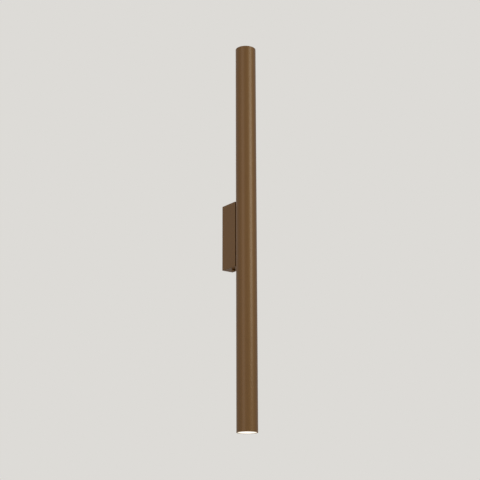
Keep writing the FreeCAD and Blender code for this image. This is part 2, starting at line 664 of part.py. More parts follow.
def heat_sink():
    """A turned flange and seat on an extruded core with radial fins, drilled for the lead."""
    flange = FLANGE_DIAMETER / 2
    seat = SEAT_DIAMETER / 2
    core = CORE_DIAMETER / 2
    groove = seat - SNAP_DEPTH - THREAD_CLEARANCE
    groove_half = SNAP_HALF_WIDTH + THREAD_CLEARANCE
    screw_start = point(0, TUBE_Y + flange + PAST, from_rim(MODULE_SCREW_FROM_RIM))
    profile = [(0, -FIN_END_FROM_RIM), (core, -FIN_END_FROM_RIM), (core, -FIN_START_FROM_RIM),
               (flange, -FIN_START_FROM_RIM), (flange, -FLANGE_FROM_RIM), (seat, -FLANGE_FROM_RIM),
               (seat, -SNAP_FROM_RIM - groove_half), (groove, -SNAP_FROM_RIM),
               (seat, -SNAP_FROM_RIM + groove_half), (seat, -SEAT_FROM_RIM), (0, -SEAT_FROM_RIM)]
    body = turned(profile, point(0, TUBE_Y, RIM_Z), Z).fuse(fin_star())
    low = from_rim(FIN_END_FROM_RIM + PAST)
    holes = [rod(LEAD_HOLE_DIAMETER, point(0, TUBE_Y, low), Z, FIN_END_FROM_RIM)]
    holes.append(rod(M3, screw_start, -Y, MODULE_SCREW_LENGTH + PAST))
    for x in both(BOARD_SCREW_OFFSET):
        holes.append(rod(M3, point(x, TUBE_Y, from_rim(SEAT_FROM_RIM - PAST)), -Z, BOARD_SCREW_LENGTH))
    return body.cut(holes).removeSplitter()


def drilled_disc(diameter, low_from_rim, thickness):
    """A disc on the tube's axis, drilled for the lead and for the two board screws."""
    disc = rod(diameter, point(0, TUBE_Y, from_rim(low_from_rim)), Z, thickness)
    start = from_rim(low_from_rim + PAST)
    holes = [rod(LEAD_HOLE_DIAMETER, point(0, TUBE_Y, start), Z, thickness + 2 * PAST)]
    for x in both(BOARD_SCREW_OFFSET):
        holes.append(rod(M3 + HOLE_CLEARANCE, point(x, TUBE_Y, start), Z, thickness + 2 * PAST))
    return disc.cut(holes)


def thermal_pad():
    return drilled_disc(PAD_DIAMETER, SEAT_FROM_RIM, PAD_THICKNESS)


def led_board():
    return drilled_disc(BOARD_DIAMETER, SEAT_FROM_RIM - PAD_THICKNESS, BOARD_THICKNESS)


def led_chips():
    """Square emitters on a circle, clear of the board screws."""
    width, depth, height = CHIP_SIZE
    low = from_rim(BOARD_TOP_FROM_RIM)
    chips = []
    for step in range(CHIP_COUNT):
        turn = math.radians(360 * (step + 0.5) / CHIP_COUNT)
        x = CHIP_CIRCLE_DIAMETER / 2 * math.cos(turn)
        y = TUBE_Y + CHIP_CIRCLE_DIAMETER / 2 * math.sin(turn)
        across = (x - width / 2, x + width / 2)
        chips.append(block(across, (y - depth / 2, y + depth / 2), (low, low + height)))
    return Part.makeCompound(chips)


def board_socket():
    """A two-pole socket over the hole in the board, which the lead enters from below."""
    width, depth, height = SOCKET_SIZE
    well_width, well_depth, well_height = SOCKET_WELL
    low = from_rim(BOARD_TOP_FROM_RIM)
    top = low + height
    body = block(both(width / 2), (TUBE_Y - depth / 2, TUBE_Y + depth / 2), (low, top))
    body = body.makeFillet(SOCKET_CORNER_RADIUS, edges_along(body, Z))
    wells = []
    for x in both(SOCKET_PIN_X):
        wells.append(block((x - well_width / 2, x + well_width / 2),
                           (TUBE_Y - well_depth / 2, TUBE_Y + well_depth / 2),
                           (top - well_height, top + PAST)))
    return body.cut(wells)


def board_screws():
    top = from_rim(BOARD_TOP_FROM_RIM)
    seats = [point(x, TUBE_Y, top) for x in both(BOARD_SCREW_OFFSET)]
    return Part.makeCompound([pan_screw(M3_PAN, seat, Z, BOARD_SCREW_LENGTH) for seat in seats])


def diffuser():
    """An opal cap: a disc almost flush with the rim, and a skirt that snaps onto the heat sink."""
    outer = DIFFUSER_DIAMETER / 2
    inner = SEAT_DIAMETER / 2 + THREAD_CLEARANCE
    face = -DIFFUSER_RECESS
    under = face - DIFFUSER_THICKNESS
    foot = -FLANGE_FROM_RIM
    profile = [(0, under), (inner, under), (inner, -SNAP_FROM_RIM + SNAP_HALF_WIDTH),
               (inner - SNAP_DEPTH, -SNAP_FROM_RIM), (inner, -SNAP_FROM_RIM - SNAP_HALF_WIDTH), (inner, foot),
               (outer, foot), (outer, face - DIFFUSER_CHAMFER), (outer - DIFFUSER_CHAMFER, face), (0, face)]
    return turned(profile, point(0, TUBE_Y, RIM_Z), Z)


def module_screw():
    """One screw from the back of the tube into the flange, which holds the module in its place."""
    seat = point(0, TUBE_BACK, from_rim(MODULE_SCREW_FROM_RIM))
    return cap_screw(M3_LOW_CAP, seat, Y, MODULE_SCREW_LENGTH)


def write(name, shape):
    if not shape.isValid():
        raise ValueError(name + " is not a valid shape")
    shape.exportStep("parts/" + name + ".step")
    print(name, len(shape.Solids), "solid(s)", round(shape.Volume / 1000, 3), "cm3")


SINGLE_PARTS = [wall_bracket, cable_grommet, wall_box, clamp_screws, clamp_nut_plates, tube, tube_saddle,
                saddle_screws, wire_bush, terminal_block, terminal_sleeves, terminal_screws, block_stud,
                block_nut, earth_stud, earth_nut, earth_ring_terminal, earth_lead, driver_carrier,
                carrier_screws, led_driver, driver_ties, upper_lead, lower_lead]
MODULE_PARTS = [heat_sink, thermal_pad, led_board, led_chips, board_socket, board_screws, diffuser,
                module_screw]

os.makedirs("parts", exist_ok=True)
for make in SINGLE_PARTS:
    write(make.__name__, make())
write("live_lead", supply_lead(-1))
write("neutral_lead", supply_lead(1))
for make in MODULE_PARTS:
    upper = make()
    write("upper_" + make.__name__, upper)
    write("lower_" + make.__name__, upper.mirror(point(0, 0, 0), Z))
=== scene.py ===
import math
import bmesh
import bpy
import numpy as np
from mathutils import Matrix, Vector


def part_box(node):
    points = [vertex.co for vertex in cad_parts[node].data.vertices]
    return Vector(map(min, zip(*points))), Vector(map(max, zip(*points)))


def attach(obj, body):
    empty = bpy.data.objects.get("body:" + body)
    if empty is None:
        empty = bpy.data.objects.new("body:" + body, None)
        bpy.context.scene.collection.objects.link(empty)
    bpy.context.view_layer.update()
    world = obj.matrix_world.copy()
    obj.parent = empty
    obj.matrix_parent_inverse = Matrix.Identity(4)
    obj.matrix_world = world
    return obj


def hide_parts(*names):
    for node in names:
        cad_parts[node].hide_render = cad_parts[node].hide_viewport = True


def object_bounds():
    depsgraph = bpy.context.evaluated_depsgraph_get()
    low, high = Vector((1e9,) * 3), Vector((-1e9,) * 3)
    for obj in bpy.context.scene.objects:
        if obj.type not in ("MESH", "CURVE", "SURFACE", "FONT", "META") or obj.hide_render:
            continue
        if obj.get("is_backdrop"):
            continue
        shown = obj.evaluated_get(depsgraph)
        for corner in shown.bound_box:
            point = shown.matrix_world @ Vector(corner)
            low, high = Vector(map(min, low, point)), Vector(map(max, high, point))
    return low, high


# The light is dressed in the order in which it is put together: the tube, the box behind it, the
# screws, what clamps and wires the box, the bracket on the wall, the driver, and the light modules.
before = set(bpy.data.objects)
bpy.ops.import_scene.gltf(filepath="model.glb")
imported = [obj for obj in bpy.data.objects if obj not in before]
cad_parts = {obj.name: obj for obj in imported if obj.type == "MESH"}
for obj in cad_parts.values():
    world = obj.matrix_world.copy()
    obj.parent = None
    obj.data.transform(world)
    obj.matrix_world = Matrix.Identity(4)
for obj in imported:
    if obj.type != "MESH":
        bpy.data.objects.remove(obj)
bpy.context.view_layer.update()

# ---------------------------------------------------------------------------------------------------
# Tube. A cut length of 40 x 1.5 mm round aluminium tube, its ends deburred, brushed along its length
# and then anodised to a satin bronze. It is drilled at the back and screwed to the box at mid-height.
# ---------------------------------------------------------------------------------------------------
MM = 0.001
TUBE_WALL = 1.5 * MM
RIM_ROUNDING = 0.35 * MM
CORNER_STEPS = 5
TUBE_SIDES = 192
HOLE_SIDES = 48
BUSH_HOLE = 10.5 * MM
SADDLE_SCREW_HOLE = 4.3 * MM
SADDLE_SCREW_Z = 16 * MM
MODULE_SCREW_HOLE = 3.3 * MM
CREASE_ANGLE = math.radians(50)


def linear(hex_colour):
    """An sRGB hex colour as a linear colour: each channel is raised to 2.4 above a short straight toe."""
    channels = [int(hex_colour[i:i + 2], 16) / 255 for i in (1, 3, 5)]
    return tuple(c / 12.92 if c < 0.04045 else ((c + 0.055) / 1.055) ** 2.4 for c in channels) + (1.0,)


def add(tree, kind, inputs, **settings):
    """One shader node with its settings. Each input, by its name or number, takes a plain value, or
    a link from another node's first live output or from a given output."""
    node = tree.nodes.new(kind)
    for name, value in settings.items():
        setattr(node, name, value)
    for name, source in inputs.items():
        if isinstance(source, bpy.types.Node):
            source = next(output for output in source.outputs if output.enabled)
        if isinstance(source, bpy.types.NodeSocket):
            tree.links.new(source, node.inputs[name])
        else:
            node.inputs[name].default_value = source
    return node


def new_material(name):
    """An empty node material: the material, its node tree, and the position on the piece in metres."""
    material = bpy.data.materials.new(name)
    material.use_nodes = True
    tree = material.node_tree
    tree.nodes.clear()
    return material, tree, add(tree, "ShaderNodeTexCoord", {}).outputs["Object"]


def brushed_bronze_anodised_aluminium():
    """Anodised aluminium, brushed before the bath: a tinted oxide skin over the metal, so the sheen is
    broad and soft, and paler than the metal's own colour. Grit 240 leaves lines 0.1 mm apart; they are
    drawn 0.3 mm apart, and 50 mm long, because finer ones are lost in the render. They run along the
    light, and over its top and bottom flaps towards the wall."""
    material, tree, spot = new_material("brushed bronze anodised aluminium")
    line_gap = 0.3 * MM
    line_length = 50 * MM
    cloud_size = 80 * MM
    flap_steepness = 0.7
    clouds_share = 0.55
    fine, long = 1 / line_gap, 1 / line_length
    upright = add(tree, "ShaderNodeMapping", {"Vector": spot, "Scale": (fine, fine, long)})
    across = add(tree, "ShaderNodeMapping", {"Vector": spot, "Scale": (fine, long, fine)})
    surface = add(tree, "ShaderNodeNewGeometry", {})
    facing = add(tree, "ShaderNodeSeparateXYZ", {0: surface.outputs["Normal"]})
    steepness = add(tree, "ShaderNodeMath", {0: facing.outputs["Z"]}, operation="ABSOLUTE")
    flap = add(tree, "ShaderNodeMath", {0: steepness, 1: flap_steepness}, operation="GREATER_THAN")
    along = add(tree, "ShaderNodeMix", {"Factor": flap, "A": upright, "B": across}, data_type="VECTOR")
    lines = add(tree, "ShaderNodeTexNoise", {"Vector": along, "Scale": 1.0, "Detail": 3.0, "Roughness": 0.6})
    clouds = add(tree, "ShaderNodeTexNoise",
                 {"Vector": spot, "Scale": 1 / cloud_size, "Detail": 4.0, "Roughness": 0.55})
    mixed = add(tree, "ShaderNodeMix", {"Factor": clouds_share, "A": lines, "B": clouds})
    colour = add(tree, "ShaderNodeMix",
                 {"Factor": mixed, "A": linear("#6a4922"), "B": linear("#7d5b2f")}, data_type="RGBA")
    roughness = add(tree, "ShaderNodeMapRange", {"Value": mixed, "To Min": 0.58, "To Max": 0.7})
    bump = add(tree, "ShaderNodeBump", {"Height": lines, "Strength": 0.12, "Distance": 0.02 * MM})
    shader = add(tree, "ShaderNodeBsdfPrincipled", {
        "Base Color": colour, "Roughness": roughness, "Normal": bump, "Metallic": 1.0, "Coat Weight": 0.62,
        "Coat Roughness": 0.3, "Coat IOR": 1.5, "Specular Tint": linear("#b79d7c")})
    add(tree, "ShaderNodeOutputMaterial", {"Surface": shader})
    return material


def rounded_outline(corners):
    """A closed outline through (across, along, rounding) corners. Each rounded corner is a quadratic
    curve between the two points that lie its rounding away from it along its sides."""
    points = []
    for i, (across, along, rounding) in enumerate(corners):
        corner = np.array((across, along))
        before = np.array(corners[i - 1][:2]) - corner
        after = np.array(corners[(i + 1) % len(corners)][:2]) - corner
        start = corner + before / np.linalg.norm(before) * rounding
        end = corner + after / np.linalg.norm(after) * rounding
        t = np.linspace(0, 1, CORNER_STEPS if rounding else 1)[:, None]
        points.append((1 - t) ** 2 * start + 2 * t * (1 - t) * corner + t ** 2 * end)
    return np.vstack(points)


def grid_faces(rows, columns, close_rows, cap_ends, first=0):
    """The quads between neighbouring rows of a grid whose rows are closed rings. The last row is joined
    to the first, or both ends are capped, if asked. The grid's points are numbered from first."""
    index = first + np.arange(rows * columns).reshape(rows, columns)
    if close_rows:
        index = np.vstack([index, index[:1]])
    right = np.roll(index, -1, axis=1)
    quads = np.stack([index[:-1], right[:-1], right[1:], index[1:]], axis=-1).reshape(-1, 4).tolist()
    caps = [index[0, ::-1].tolist(), index[-1].tolist()] if cap_ends else []
    return quads + caps


def grid_mesh(name, grids, close_rows=False, cap_ends=False):
    """One mesh over several grids of points, each (rows, columns, 3), with its faces turned outwards."""
    sizes = [grid.shape[0] * grid.shape[1] for grid in grids]
    firsts = np.cumsum([0] + sizes[:-1])
    faces = []
    for grid, first in zip(grids, firsts):
        faces += grid_faces(grid.shape[0], grid.shape[1], close_rows, cap_ends, int(first))
    mesh = bpy.data.meshes.new(name)
    mesh.from_pydata(np.vstack([grid.reshape(-1, 3) for grid in grids]).tolist(), [], faces)
    work = bmesh.new()
    work.from_mesh(mesh)
    bmesh.ops.recalc_face_normals(work, faces=work.faces)
    work.to_mesh(mesh)
    work.free()
    return mesh


def turned(outline, centre, sides):
    """The points of a solid of revolution about an upright axis through the centre: one row for each
    (radius, height) of the outline, one column for each side."""
    angle = np.linspace(0, 2 * np.pi, sides, endpoint=False)
    across, along = outline[:, :1] * np.cos(angle), outline[:, :1] * np.sin(angle)
    height = np.broadcast_to(outline[:, 1:2], across.shape)
    return np.stack([across, along, height], axis=-1) + np.array(centre)


def fit(name, mesh, material, node, body="luminaire"):
    """Puts a finished mesh into the scene. It stands for its CAD node and rides on its
    body. Its shading follows its larger faces, so that flat areas look flat beside a rounded edge,
    and breaks where two faces meet at more than the crease angle."""
    mesh.materials.clear()
    mesh.materials.append(material)
    mesh.polygons.foreach_set("use_smooth", np.ones(len(mesh.polygons), dtype=bool))
    mesh.set_sharp_from_angle(angle=CREASE_ANGLE)
    piece = bpy.data.objects.new(name, mesh)
    bpy.context.scene.collection.objects.link(piece)
    even = piece.modifiers.new("even shading", "WEIGHTED_NORMAL")
    even.keep_sharp = True
    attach(piece, body)
    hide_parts(node)


def drilled(mesh, centre, holes):
    """The mesh less round holes that run back from the centre, out through the tube's back. Each hole
    is a (height, diameter), cut by a rod along Y: a circle of that diameter at each end, joined and
    capped. The circles are turned by half a side, so that none of their points lies on an edge of
    the tube."""
    angle = np.linspace(0, 2 * np.pi, HOLE_SIDES, endpoint=False) + np.pi / HOLE_SIDES
    rods = []
    for height, diameter in holes:
        across, along = diameter / 2 * np.cos(angle), height + diameter / 2 * np.sin(angle)
        circle = np.stack([across, np.zeros_like(angle), along], axis=-1) + np.array(centre)
        rods.append(np.stack([circle, circle + (0, 2 * tube_radius, 0)]))
    blank = bpy.data.objects.new("blank", mesh)
    drill = bpy.data.objects.new("drill", grid_mesh("drill", rods, cap_ends=True))
    for item in (blank, drill):
        bpy.context.scene.collection.objects.link(item)
    cut = blank.modifiers.new("drilled", "BOOLEAN")
    cut.operation, cut.solver, cut.object = "DIFFERENCE", "EXACT", drill
    graph = bpy.context.evaluated_depsgraph_get()
    result = bpy.data.meshes.new_from_object(blank.evaluated_get(graph))
    for item in (blank, drill):
        bpy.data.objects.remove(item)
    return result


tube_low, tube_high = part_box("tube")
tube_radius = (tube_high.x - tube_low.x) / 2
tube_y = (tube_low.y + tube_high.y) / 2
bore_radius = tube_radius - TUBE_WALL
tube_outline = rounded_outline([
    (bore_radius, tube_low.z, RIM_ROUNDING), (tube_radius, tube_low.z, RIM_ROUNDING),
    (tube_radius, tube_high.z, RIM_ROUNDING), (bore_radius, tube_high.z, RIM_ROUNDING)])
bronze = brushed_bronze_anodised_aluminium()
tube_mesh = grid_mesh("tube_brushed", [turned(tube_outline, (0, tube_y, 0), TUBE_SIDES)], close_rows=True)
module_screw_low, module_screw_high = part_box("upper_module_screw")
module_screw_z = (module_screw_low.z + module_screw_high.z) / 2
tube_mesh = drilled(tube_mesh, (0, tube_y, 0), [
    (0, BUSH_HOLE), (SADDLE_SCREW_Z, SADDLE_SCREW_HOLE), (-SADDLE_SCREW_Z, SADDLE_SCREW_HOLE),
    (module_screw_z, MODULE_SCREW_HOLE), (-module_screw_z, MODULE_SCREW_HOLE)])
fit("tube_brushed", tube_mesh, bronze, "tube")

# ---------------------------------------------------------------------------------------------------
# Wall box. Folded from 1.5 mm aluminium sheet, its corners welded and ground round, brushed and
# anodised with the tube. It is open towards the wall, and its front carries the tube.
# ---------------------------------------------------------------------------------------------------
BROKEN_EDGE = 0.15 * MM
SAME_POINT = 0.001 * MM
FLAT_ANGLE = math.radians(0.5)
EDGE_ANGLE = math.radians(35)
EDGE_FACETS = 3


def fit_rounded(node, finish, rounding, material, body="luminaire"):
    """Fits a copy of a node's own mesh, named for its finish, with its doubles merged and its flat
    areas made whole. Each edge where the surface turns by more than the edge angle is rounded by
    three facets, which start at the rounding's distance from the edge on either side."""
    name = node + "_" + finish
    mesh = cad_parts[node].data.copy()
    mesh.name = name
    work = bmesh.new()
    work.from_mesh(mesh)
    bmesh.ops.remove_doubles(work, verts=work.verts, dist=SAME_POINT)
    bmesh.ops.dissolve_limit(work, angle_limit=FLAT_ANGLE, verts=work.verts, edges=work.edges)
    sharp = [edge for edge in work.edges if edge.is_manifold and edge.calc_face_angle() > EDGE_ANGLE]
    bmesh.ops.bevel(work, geom=sharp, offset=rounding, segments=EDGE_FACETS, profile=0.5,
                    affect="EDGES", clamp_overlap=True)
    work.to_mesh(mesh)
    work.free()
    fit(name, mesh, material, node, body)


box_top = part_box("wall_box")[1].z
fit_rounded("wall_box", "brushed", BROKEN_EDGE, bronze)

# ---------------------------------------------------------------------------------------------------
# Clamp screws and module screws. Socket-head cap screws of steel, cold-headed, with rolled threads
# and a knurled head, plated in the body's colour. Two clamp the box, one holds each light module.
# ---------------------------------------------------------------------------------------------------
CAP_SCREW_SIDES = 160
KNURLS = 32
KNURL_DEPTH = 0.07 * MM
HEAD_EDGE = 0.5 * MM
SOCKET_FLOOR_OF_HEIGHT = 0.45
SOCKET_CONE_OF_KEY = 0.1
SOCKET_MOUTH_OF_KEY = 0.62
PITCH_OF_THREAD = 0.175
THREAD_DEPTH_OF_PITCH = 0.55
ROWS_OF_PITCH = 8


def worked_metal(name, dark, light, cloud, smoothest, roughest, relief, detail=4.0, line=None):
    """A metal in two close tones, mixed in clouds of the given size in metres. Its sheen and a shallow
    relief follow the same clouds or, where the tool's line is given as its (gap, length) in metres,
    lines that run along Z."""
    material, tree, spot = new_material(name)
    clouds = add(tree, "ShaderNodeTexNoise",
                 {"Vector": spot, "Scale": 1 / cloud, "Detail": detail, "Roughness": 0.6})
    texture = clouds
    if line:
        gap, length = line
        drawn = add(tree, "ShaderNodeMapping",
                    {"Vector": spot, "Scale": (1 / gap, 1 / gap, 1 / length)})
        texture = add(tree, "ShaderNodeTexNoise", {"Vector": drawn, "Scale": 1.0, "Detail": 2.0})
    colour = add(tree, "ShaderNodeMix",
                 {"Factor": clouds, "A": linear(dark), "B": linear(light)}, data_type="RGBA")
    roughness = add(tree, "ShaderNodeMapRange",
                    {"Value": texture, "To Min": smoothest, "To Max": roughest})
    bump = add(tree, "ShaderNodeBump", {"Height": texture, "Strength": relief, "Distance": 0.02 * MM})
    shader = add(tree, "ShaderNodeBsdfPrincipled", {
        "Base Color": colour, "Roughness": roughness, "Normal": bump, "Metallic": 1.0})
    add(tree, "ShaderNodeOutputMaterial", {"Surface": shader})
    return material


def on_seat(radius, height, seat, outward):
    """Points from polar rows: radius and height are arrays (rows, sides), the sides are evenly spaced
    round the outward axis, and height zero is the seat."""
    angle = np.linspace(0, 2 * np.pi, radius.shape[1], endpoint=False)
    outward = Vector(outward)
    across = Vector((0, 0, 1)) if abs(outward.z) < 0.5 else Vector((0, 1, 0))
    basis = np.array([across, outward.cross(across), outward])
    rings = np.stack([radius * np.cos(angle), radius * np.sin(angle), height], axis=-1)
    return rings @ basis + np.array(seat)


def hexagon_radius(sides, flats):
    """A hexagon as one polar row: half its width across flats, over the cosine of the angle from the
    nearest flat's middle."""
    angle = np.linspace(0, 2 * np.pi, sides, endpoint=False)
    return flats / 2 / np.cos((angle + np.pi / 6) % (np.pi / 3) - np.pi / 6)


def threaded_shank(sides, thread, length):
    """Polar rows of a thread, from the seat to the tip: the depth is a triangle wave of the angle plus
    the distance along the shank in pitches, and it fades over the first and the last pitch."""
    angle = np.linspace(0, 2 * np.pi, sides, endpoint=False)
    pitch = thread * PITCH_OF_THREAD
    along = np.linspace(0, length, int(length / pitch * ROWS_OF_PITCH))[:, None]
    wave = np.abs(((angle / (2 * np.pi) + along / pitch) % 1.0) * 2 - 1)
    fade = np.clip(np.minimum(along, length - along) / pitch, 0, 1)
    tip = np.clip(1 - (length - along) / pitch, 0, 1)
    radius = thread / 2 - THREAD_DEPTH_OF_PITCH * pitch * (wave * fade + tip)
    return radius, np.broadcast_to(-along, radius.shape)


def cap_screw(seat, outward, thread, head, height, key, length):
    """Rings of a socket-head cap screw, each a (radius, height over the seat), from the middle of the
    socket's floor outwards and down to the shank's tip. The knurled side is the head's radius less a
    rectified sine of the angle."""
    sides = CAP_SCREW_SIDES
    angle = np.linspace(0, 2 * np.pi, sides, endpoint=False)
    ones = np.ones(sides)
    hexagon = hexagon_radius(sides, key)
    rim = head / 2
    knurled = rim - KNURL_DEPTH * np.abs(np.sin(angle * KNURLS / 2))
    floor = height * SOCKET_FLOOR_OF_HEIGHT
    # The socket: its coned floor, its hexagonal wall and the chamfer of its mouth.
    socket = [(hexagon * 0.02, floor - SOCKET_CONE_OF_KEY * key), (hexagon, floor),
              (hexagon, height - 0.1 * MM), (ones * key * SOCKET_MOUTH_OF_KEY, height)]
    # The flat top, its rounded edge, the knurled side and the flat underside.
    outside = [(ones * (rim - HEAD_EDGE), height), (ones * (rim - 0.2 * MM), height - 0.08 * MM),
               (ones * (rim - 0.08 * MM), height - 0.3 * MM), (knurled, height - HEAD_EDGE),
               (knurled, 0.25 * MM), (ones * (rim - 0.15 * MM), 0.0), (ones * thread / 2, 0.0)]
    radius, drop = threaded_shank(sides, thread, length)
    radius = np.vstack([row for row, _ in socket + outside] + [radius[1:]])
    rise = np.vstack([ones * level for _, level in socket + outside] + [drop[1:]])
    return on_seat(radius, rise, seat, outward)


# Steel blasted, plated and lacquered in the body's bronze: a soft sheen over a fine even grain of
# about 0.15 mm, drawn 0.4 mm wide so that it shows.
plated = worked_metal("satin bronze plated steel", "#6b4e31", "#8a6a48", cloud=0.4 * MM,
                      smoothest=0.36, roughest=0.52, relief=0.2)
clamp_low, clamp_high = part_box("clamp_screws")
clamp_y = (clamp_low.y + clamp_high.y) / 2
clamp_screws = [
    cap_screw(seat=(0, clamp_y, up * box_top), outward=(0, 0, up), thread=3.9 * MM, head=7.0 * MM,
              height=4.0 * MM, key=3.0 * MM, length=8.2 * MM) for up in (1, -1)]
fit("clamp_screws_knurled", grid_mesh("clamp_screws_knurled", clamp_screws, cap_ends=True), plated,
    "clamp_screws")
for end in ("upper", "lower"):
    low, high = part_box(end + "_module_screw")
    screw = cap_screw(seat=(0, tube_y + tube_radius, (low.z + high.z) / 2), outward=(0, 1, 0),
                      thread=2.9 * MM, head=5.5 * MM, height=2.0 * MM, key=2.0 * MM, length=7.0 * MM)
    name = end + "_module_screw_knurled"
    fit(name, grid_mesh(name, [screw], cap_ends=True), plated, end + "_module_screw")

# ---------------------------------------------------------------------------------------------------
# Wall bracket and nut plates. The bracket is punched and folded from 2 mm steel strip, zinc plated and
# clear passivated. It stays on the wall; the clamp screws pull the nut plates against its lugs.
# ---------------------------------------------------------------------------------------------------
# Bright zinc with a clear passivation: a cool grey metal with faint yellow and blue clouds, and the
# strip's rolling lines, which are 0.05 mm apart and drawn 0.4 mm apart so that they show.
zinc = worked_metal("zinc plated steel", "#a9a89c", "#c3c7d0", cloud=14 * MM, smoothest=0.26,
                    roughest=0.5, relief=0.2, detail=5.0, line=(0.4 * MM, 30 * MM))
fit_rounded("wall_bracket", "plated", 0.2 * MM, zinc, body="wall_plate")
fit_rounded("clamp_nut_plates", "plated", 0.25 * MM, zinc)

# ---------------------------------------------------------------------------------------------------
# Cable grommet, wire bush and driver ties. The grommet is moulded EPDM rubber in the bracket's cable
# hole. The bush and the ties are moulded black nylon.
# ---------------------------------------------------------------------------------------------------


def moulded(name, dark, light, grain, roughness, relief):
    """A moulded polymer with its mould's eroded grain: two close tones, a sheen that varies with them
    and a shallow relief, all at the grain's size in metres."""
    material, tree, spot = new_material(name)
    texture = add(tree, "ShaderNodeTexNoise", {"Vector": spot, "Scale": 1 / grain, "Detail": 3.0})
    colour = add(tree, "ShaderNodeMix",
                 {"Factor": texture, "A": linear(dark), "B": linear(light)}, data_type="RGBA")
    sheen = add(tree, "ShaderNodeMapRange",
                {"Value": texture, "To Min": roughness - 0.06, "To Max": roughness + 0.08})
    bump = add(tree, "ShaderNodeBump", {"Height": texture, "Strength": 0.25, "Distance": relief})
    shader = add(tree, "ShaderNodeBsdfPrincipled", {
        "Base Color": colour, "Roughness": sheen, "Normal": bump, "IOR": 1.5})
    add(tree, "ShaderNodeOutputMaterial", {"Surface": shader})
    return material


# Soft black rubber, a little dusty: nearly no gloss. Its grain of 0.3 mm is drawn 0.8 mm wide.
rubber = moulded("moulded EPDM rubber", "#161615", "#262524", 0.8 * MM, 0.72, 0.03 * MM)
# Hard black nylon: a low gloss over a fine eroded grain of 0.2 mm, drawn 0.5 mm wide.
nylon = moulded("moulded black nylon", "#1b1b1c", "#2a2a2b", 0.5 * MM, 0.45, 0.02 * MM)
fit_rounded("cable_grommet", "moulded", 0.3 * MM, rubber, body="wall_plate")
fit_rounded("wire_bush", "moulded", 0.15 * MM, nylon)
fit_rounded("driver_ties", "moulded", 0.15 * MM, nylon)

# ---------------------------------------------------------------------------------------------------
# Saddle and its screws. The saddle is milled from aluminium bar to fit the bore. Two pan-head screws
# come from inside the box, through its front and the tube, and draw the three together.
# ---------------------------------------------------------------------------------------------------
PLAIN_SCREW_SIDES = 96
TOP_ROWS = 26
EDGE_ROWS = 5
EDGE_OF_HEIGHT = 0.35
EDGE_OF_HEAD = 0.12
RECESS_OF_HEIGHT = 0.5
RECESS_SLOPE = 0.12 * MM
BLADE_HALF_WIDTH_OF_HEAD = 0.075
CROSS_REACH_OF_HEAD = 0.3


def inside(distance):
    """1 well inside an edge and 0 well outside it: the distance over the slope's width, plus a half."""
    return np.clip(distance / RECESS_SLOPE + 0.5, 0, 1)


def recess(across, up, head, drive):
    """How far a screwdriver recess goes down at each point of a head, as a share of its full depth:
    a slot right across the head, or a cross that is at full depth over a fifth of its reach and gets
    evenly shallower from there, down to a fifth of it at the ends of its arms."""
    slot = inside(BLADE_HALF_WIDTH_OF_HEAD * head - np.abs(across))
    if drive == "slot":
        return slot
    reach = CROSS_REACH_OF_HEAD * head
    second = inside(BLADE_HALF_WIDTH_OF_HEAD * head - np.abs(up))
    arms = np.maximum(slot * inside(reach - np.abs(up)), second * inside(reach - np.abs(across)))
    return arms * np.clip(1.2 - np.hypot(across, up) / reach, 0.2, 1)


def driven_screw(seat, outward, thread, head, height, length, drive):
    """Rings of a screw, from the middle of its top outwards, over the edge and down the threaded
    shank. The top is flat and its edge a quarter circle. The recess goes down from there, to half the
    head's height at its deepest, and a headless screw has no flat under its top."""
    angle = np.linspace(0, 2 * np.pi, PLAIN_SCREW_SIDES, endpoint=False)
    ones = np.ones(PLAIN_SCREW_SIDES)
    edge = min(EDGE_OF_HEIGHT * height, EDGE_OF_HEAD * head)
    flat_radius = (head / 2 - edge) * np.linspace(0.01, 1, TOP_ROWS)[:, None] * ones
    bend = np.linspace(1 / EDGE_ROWS, 1, EDGE_ROWS)[:, None] * np.pi / 2
    round_radius = (head / 2 - edge + edge * np.sin(bend)) * ones
    round_height = (height - edge * (1 - np.cos(bend))) * ones
    radius = np.vstack([flat_radius, round_radius])
    skin = np.vstack([np.full_like(flat_radius, height), round_height])
    depth = RECESS_OF_HEIGHT * recess(radius * np.cos(angle), radius * np.sin(angle), head, drive)
    rise = np.minimum(skin, height * (1 - depth))
    shank_radius, drop = threaded_shank(PLAIN_SCREW_SIDES, thread, length)
    if head > thread:
        under = np.vstack([ones * head / 2, ones * thread / 2])
        radius, rise = np.vstack([radius, under]), np.vstack([rise, np.zeros_like(under)])
    return on_seat(np.vstack([radius, shank_radius[1:]]), np.vstack([rise, drop[1:]]), seat, outward)


def screws(node, name, rings):
    """Zinc plated screws, or a stud, from their rings, as one piece that stands for their node."""
    fit(name, grid_mesh(name, rings, cap_ends=True), zinc, node)


# Plain aluminium as it leaves the press or the cutter: pale grey, with a slightly uneven sheen and
# the tool's lines, which are 0.1 mm apart and drawn 0.4 mm apart so that they show.
aluminium = worked_metal("milled and extruded aluminium", "#b4b5b8", "#cacbcd", cloud=8 * MM,
                         smoothest=0.3, roughest=0.52, relief=0.25, line=(0.4 * MM, 25 * MM))
fit_rounded("tube_saddle", "milled", 0.25 * MM, aluminium)
low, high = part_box("saddle_screws")
pan_head, pan_height = 7.0 * MM, 2.6 * MM
screws("saddle_screws", "saddle_screws_crossed", [
    driven_screw(seat=(0, high.y - pan_height, up * (high.z - pan_head / 2)), outward=(0, 1, 0),
                 thread=3.9 * MM, head=pan_head, height=pan_height,
                 length=high.y - pan_height - low.y, drive="cross") for up in (1, -1)])

# ---------------------------------------------------------------------------------------------------
# Terminal block. Moulded in white polyamide, held by a nut on a stud welded to the box. Each pole has
# a square brass sleeve with two slotted clamping screws.
# ---------------------------------------------------------------------------------------------------
NUT_CHAMFER = math.radians(30)
CHAMFER_CIRCLE_OF_FLATS = 0.475


